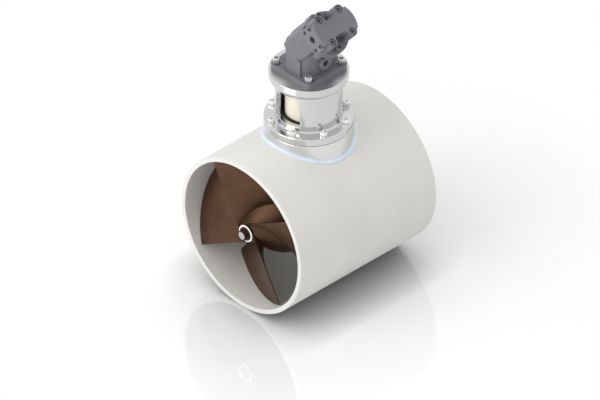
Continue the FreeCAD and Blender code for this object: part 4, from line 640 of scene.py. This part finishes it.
def blanking_plug(material):
    """A small screw plug with a hexagon socket on the motor's left face."""
    plug = pillar("plug", PLUG_RADIUS, PLUG_ENDS, PLUG_EDGES, "X")
    round_rim(plug, PLUG_ENDS[0], PLUG_ROUND, 2)
    socket = pillar("plug_socket", PLUG_RADIUS * PLUG_SOCKET_SHARE, PLUG_SOCKET_ENDS, HEXAGON, "X")
    pick(socket, "EDGE", lambda edge: span(edge, X)[0] > PLUG_SOCKET_ENDS[1] - CLOSE)
    bpy.ops.mesh.bevel(offset=PLUG_SOCKET_ROUND, segments=1)
    drill(plug, socket)
    plug.location = PLUG_SPOT
    plug = gather("blanking_plug", [plug], material)
    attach(plug, "housing")


def floor_paint():
    """Polished board. The camera sees a painted shadow darken it under the part, and sees it fade to white
    far from it.
    """
    finish = Finish("floor_paint")
    polish = finish.node("BsdfGlossy", None, {"Color": WHITE, "Roughness": FLOOR_POLISH_ROUGHNESS})
    paint = finish.node("BsdfDiffuse", None, {"Color": shade(FLOOR_GREY_UNSEEN)})
    unseen = finish.mix_shaders(FLOOR_POLISH, paint, polish)
    # Painted shadow: for the camera, occlusion near the part mixes in a dark grey paint.
    close = finish.node("AmbientOcclusion", {"samples": CONTACT_RAYS}, {"Distance": CONTACT_REACH}, "AO")
    painted_shadow = finish.node("BsdfDiffuse", None, {"Color": shade(CONTACT_SHADOW_GREY)})
    board = finish.node("BsdfDiffuse", None, {"Color": shade(FLOOR_GREY)})
    matt = finish.mix_shaders(close ** CONTACT_POWER, painted_shadow, board)
    near = finish.mix_shaders(FLOOR_POLISH, matt, polish)
    far = finish.between(finish.across("Z")[0], *FLOOR_FADE)
    white = finish.node("Emission", None, {"Color": WHITE, "Strength": 1.0})
    seen = finish.mix_shaders(far, near, white)
    mix = finish.mix_shaders(finish.node("LightPath", output="Is Camera Ray"), unseen, seen)
    finish.tree.links.new(mix.socket, finish.output.inputs["Surface"])
    return finish.material


def studio_air():
    """A white surround, brighter overhead. The camera and glossy surfaces see it even."""
    world = bpy.data.worlds.new("studio_air")
    bpy.context.scene.world = world
    world.use_nodes = True
    air = Wiring(world.node_tree)
    height = air.node("SeparateXYZ", None, {"Vector": air.node("TexCoord", output="Generated")}, "Z")
    level = air.between(height, 0.0, 1.0, AIR_AT_HORIZON, AIR_OVERHEAD)
    seen = air.node("LightPath", output="Is Camera Ray")
    mirrored = air.node("LightPath", output="Is Glossy Ray")
    level = level * (1 - mirrored) + mirrored * MIRROR_LEVEL
    level = level * (1 - seen) + seen
    background = world.node_tree.nodes["Background"]
    air.feed(background.inputs["Strength"], level)
    background.inputs["Color"].default_value = WHITE


def studio_lamp():
    """A square soft lamp that faces the origin."""
    turn = Vector(LAMP_SPOT).to_track_quat("Z", "Y").to_euler()
    bpy.ops.object.light_add(type="AREA", location=LAMP_SPOT, rotation=turn)
    light = bpy.context.object.data
    light.size = LAMP_SIZE
    light.energy = LAMP_POWER


def studio(lowest):
    """A pale floor just under the part, a white surround and a soft lamp."""
    bpy.ops.mesh.primitive_circle_add(vertices=96, radius=FLOOR_RADIUS, fill_type="NGON",
                                      location=(0, 0, lowest - FLOOR_CLEAR))
    floor = bpy.context.object
    floor.name = "studio_floor"
    floor.data.materials.append(floor_paint())
    studio_air()
    studio_lamp()


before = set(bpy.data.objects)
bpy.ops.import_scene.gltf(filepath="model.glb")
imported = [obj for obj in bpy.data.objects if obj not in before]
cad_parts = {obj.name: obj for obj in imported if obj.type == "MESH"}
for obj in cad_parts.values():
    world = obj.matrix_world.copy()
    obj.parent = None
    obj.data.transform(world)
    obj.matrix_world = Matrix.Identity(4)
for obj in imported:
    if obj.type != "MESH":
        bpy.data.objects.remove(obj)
cad_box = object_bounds()
bpy.ops.object.select_all(action="DESELECT")
bpy.context.scene.view_settings.view_transform = "Standard"
bpy.context.scene.cycles.diffuse_bounces = DIFFUSE_BOUNCES
place_camera()

# The motor's flange screws and the small plug wear the plain materials that the frame comes with.
frame_steel = bpy.data.materials["screw_steel"]
frame_paint = bpy.data.materials["motor_paint"]
finishes = make_finishes()
dress_nodes(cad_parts, finishes)
ring_of_screws("motor_flange_screws", "motor_mount_screws", frame_steel, **MOTOR_SCREWS)
# The bell's foot screws wear the paler steel copy, a painted highlight.
ring_of_screws("bell_foot_screws", "bell_flange_screws", finishes["pale_screw_steel"], **BELL_SCREWS)
# The spacer, nut and thread wear the darker bronze copy, painted shade.
propeller_fastening(finishes["nut_bronze"], finishes["zinc_washer"])
blanking_plug(frame_paint)
studio(cad_box[0].z)
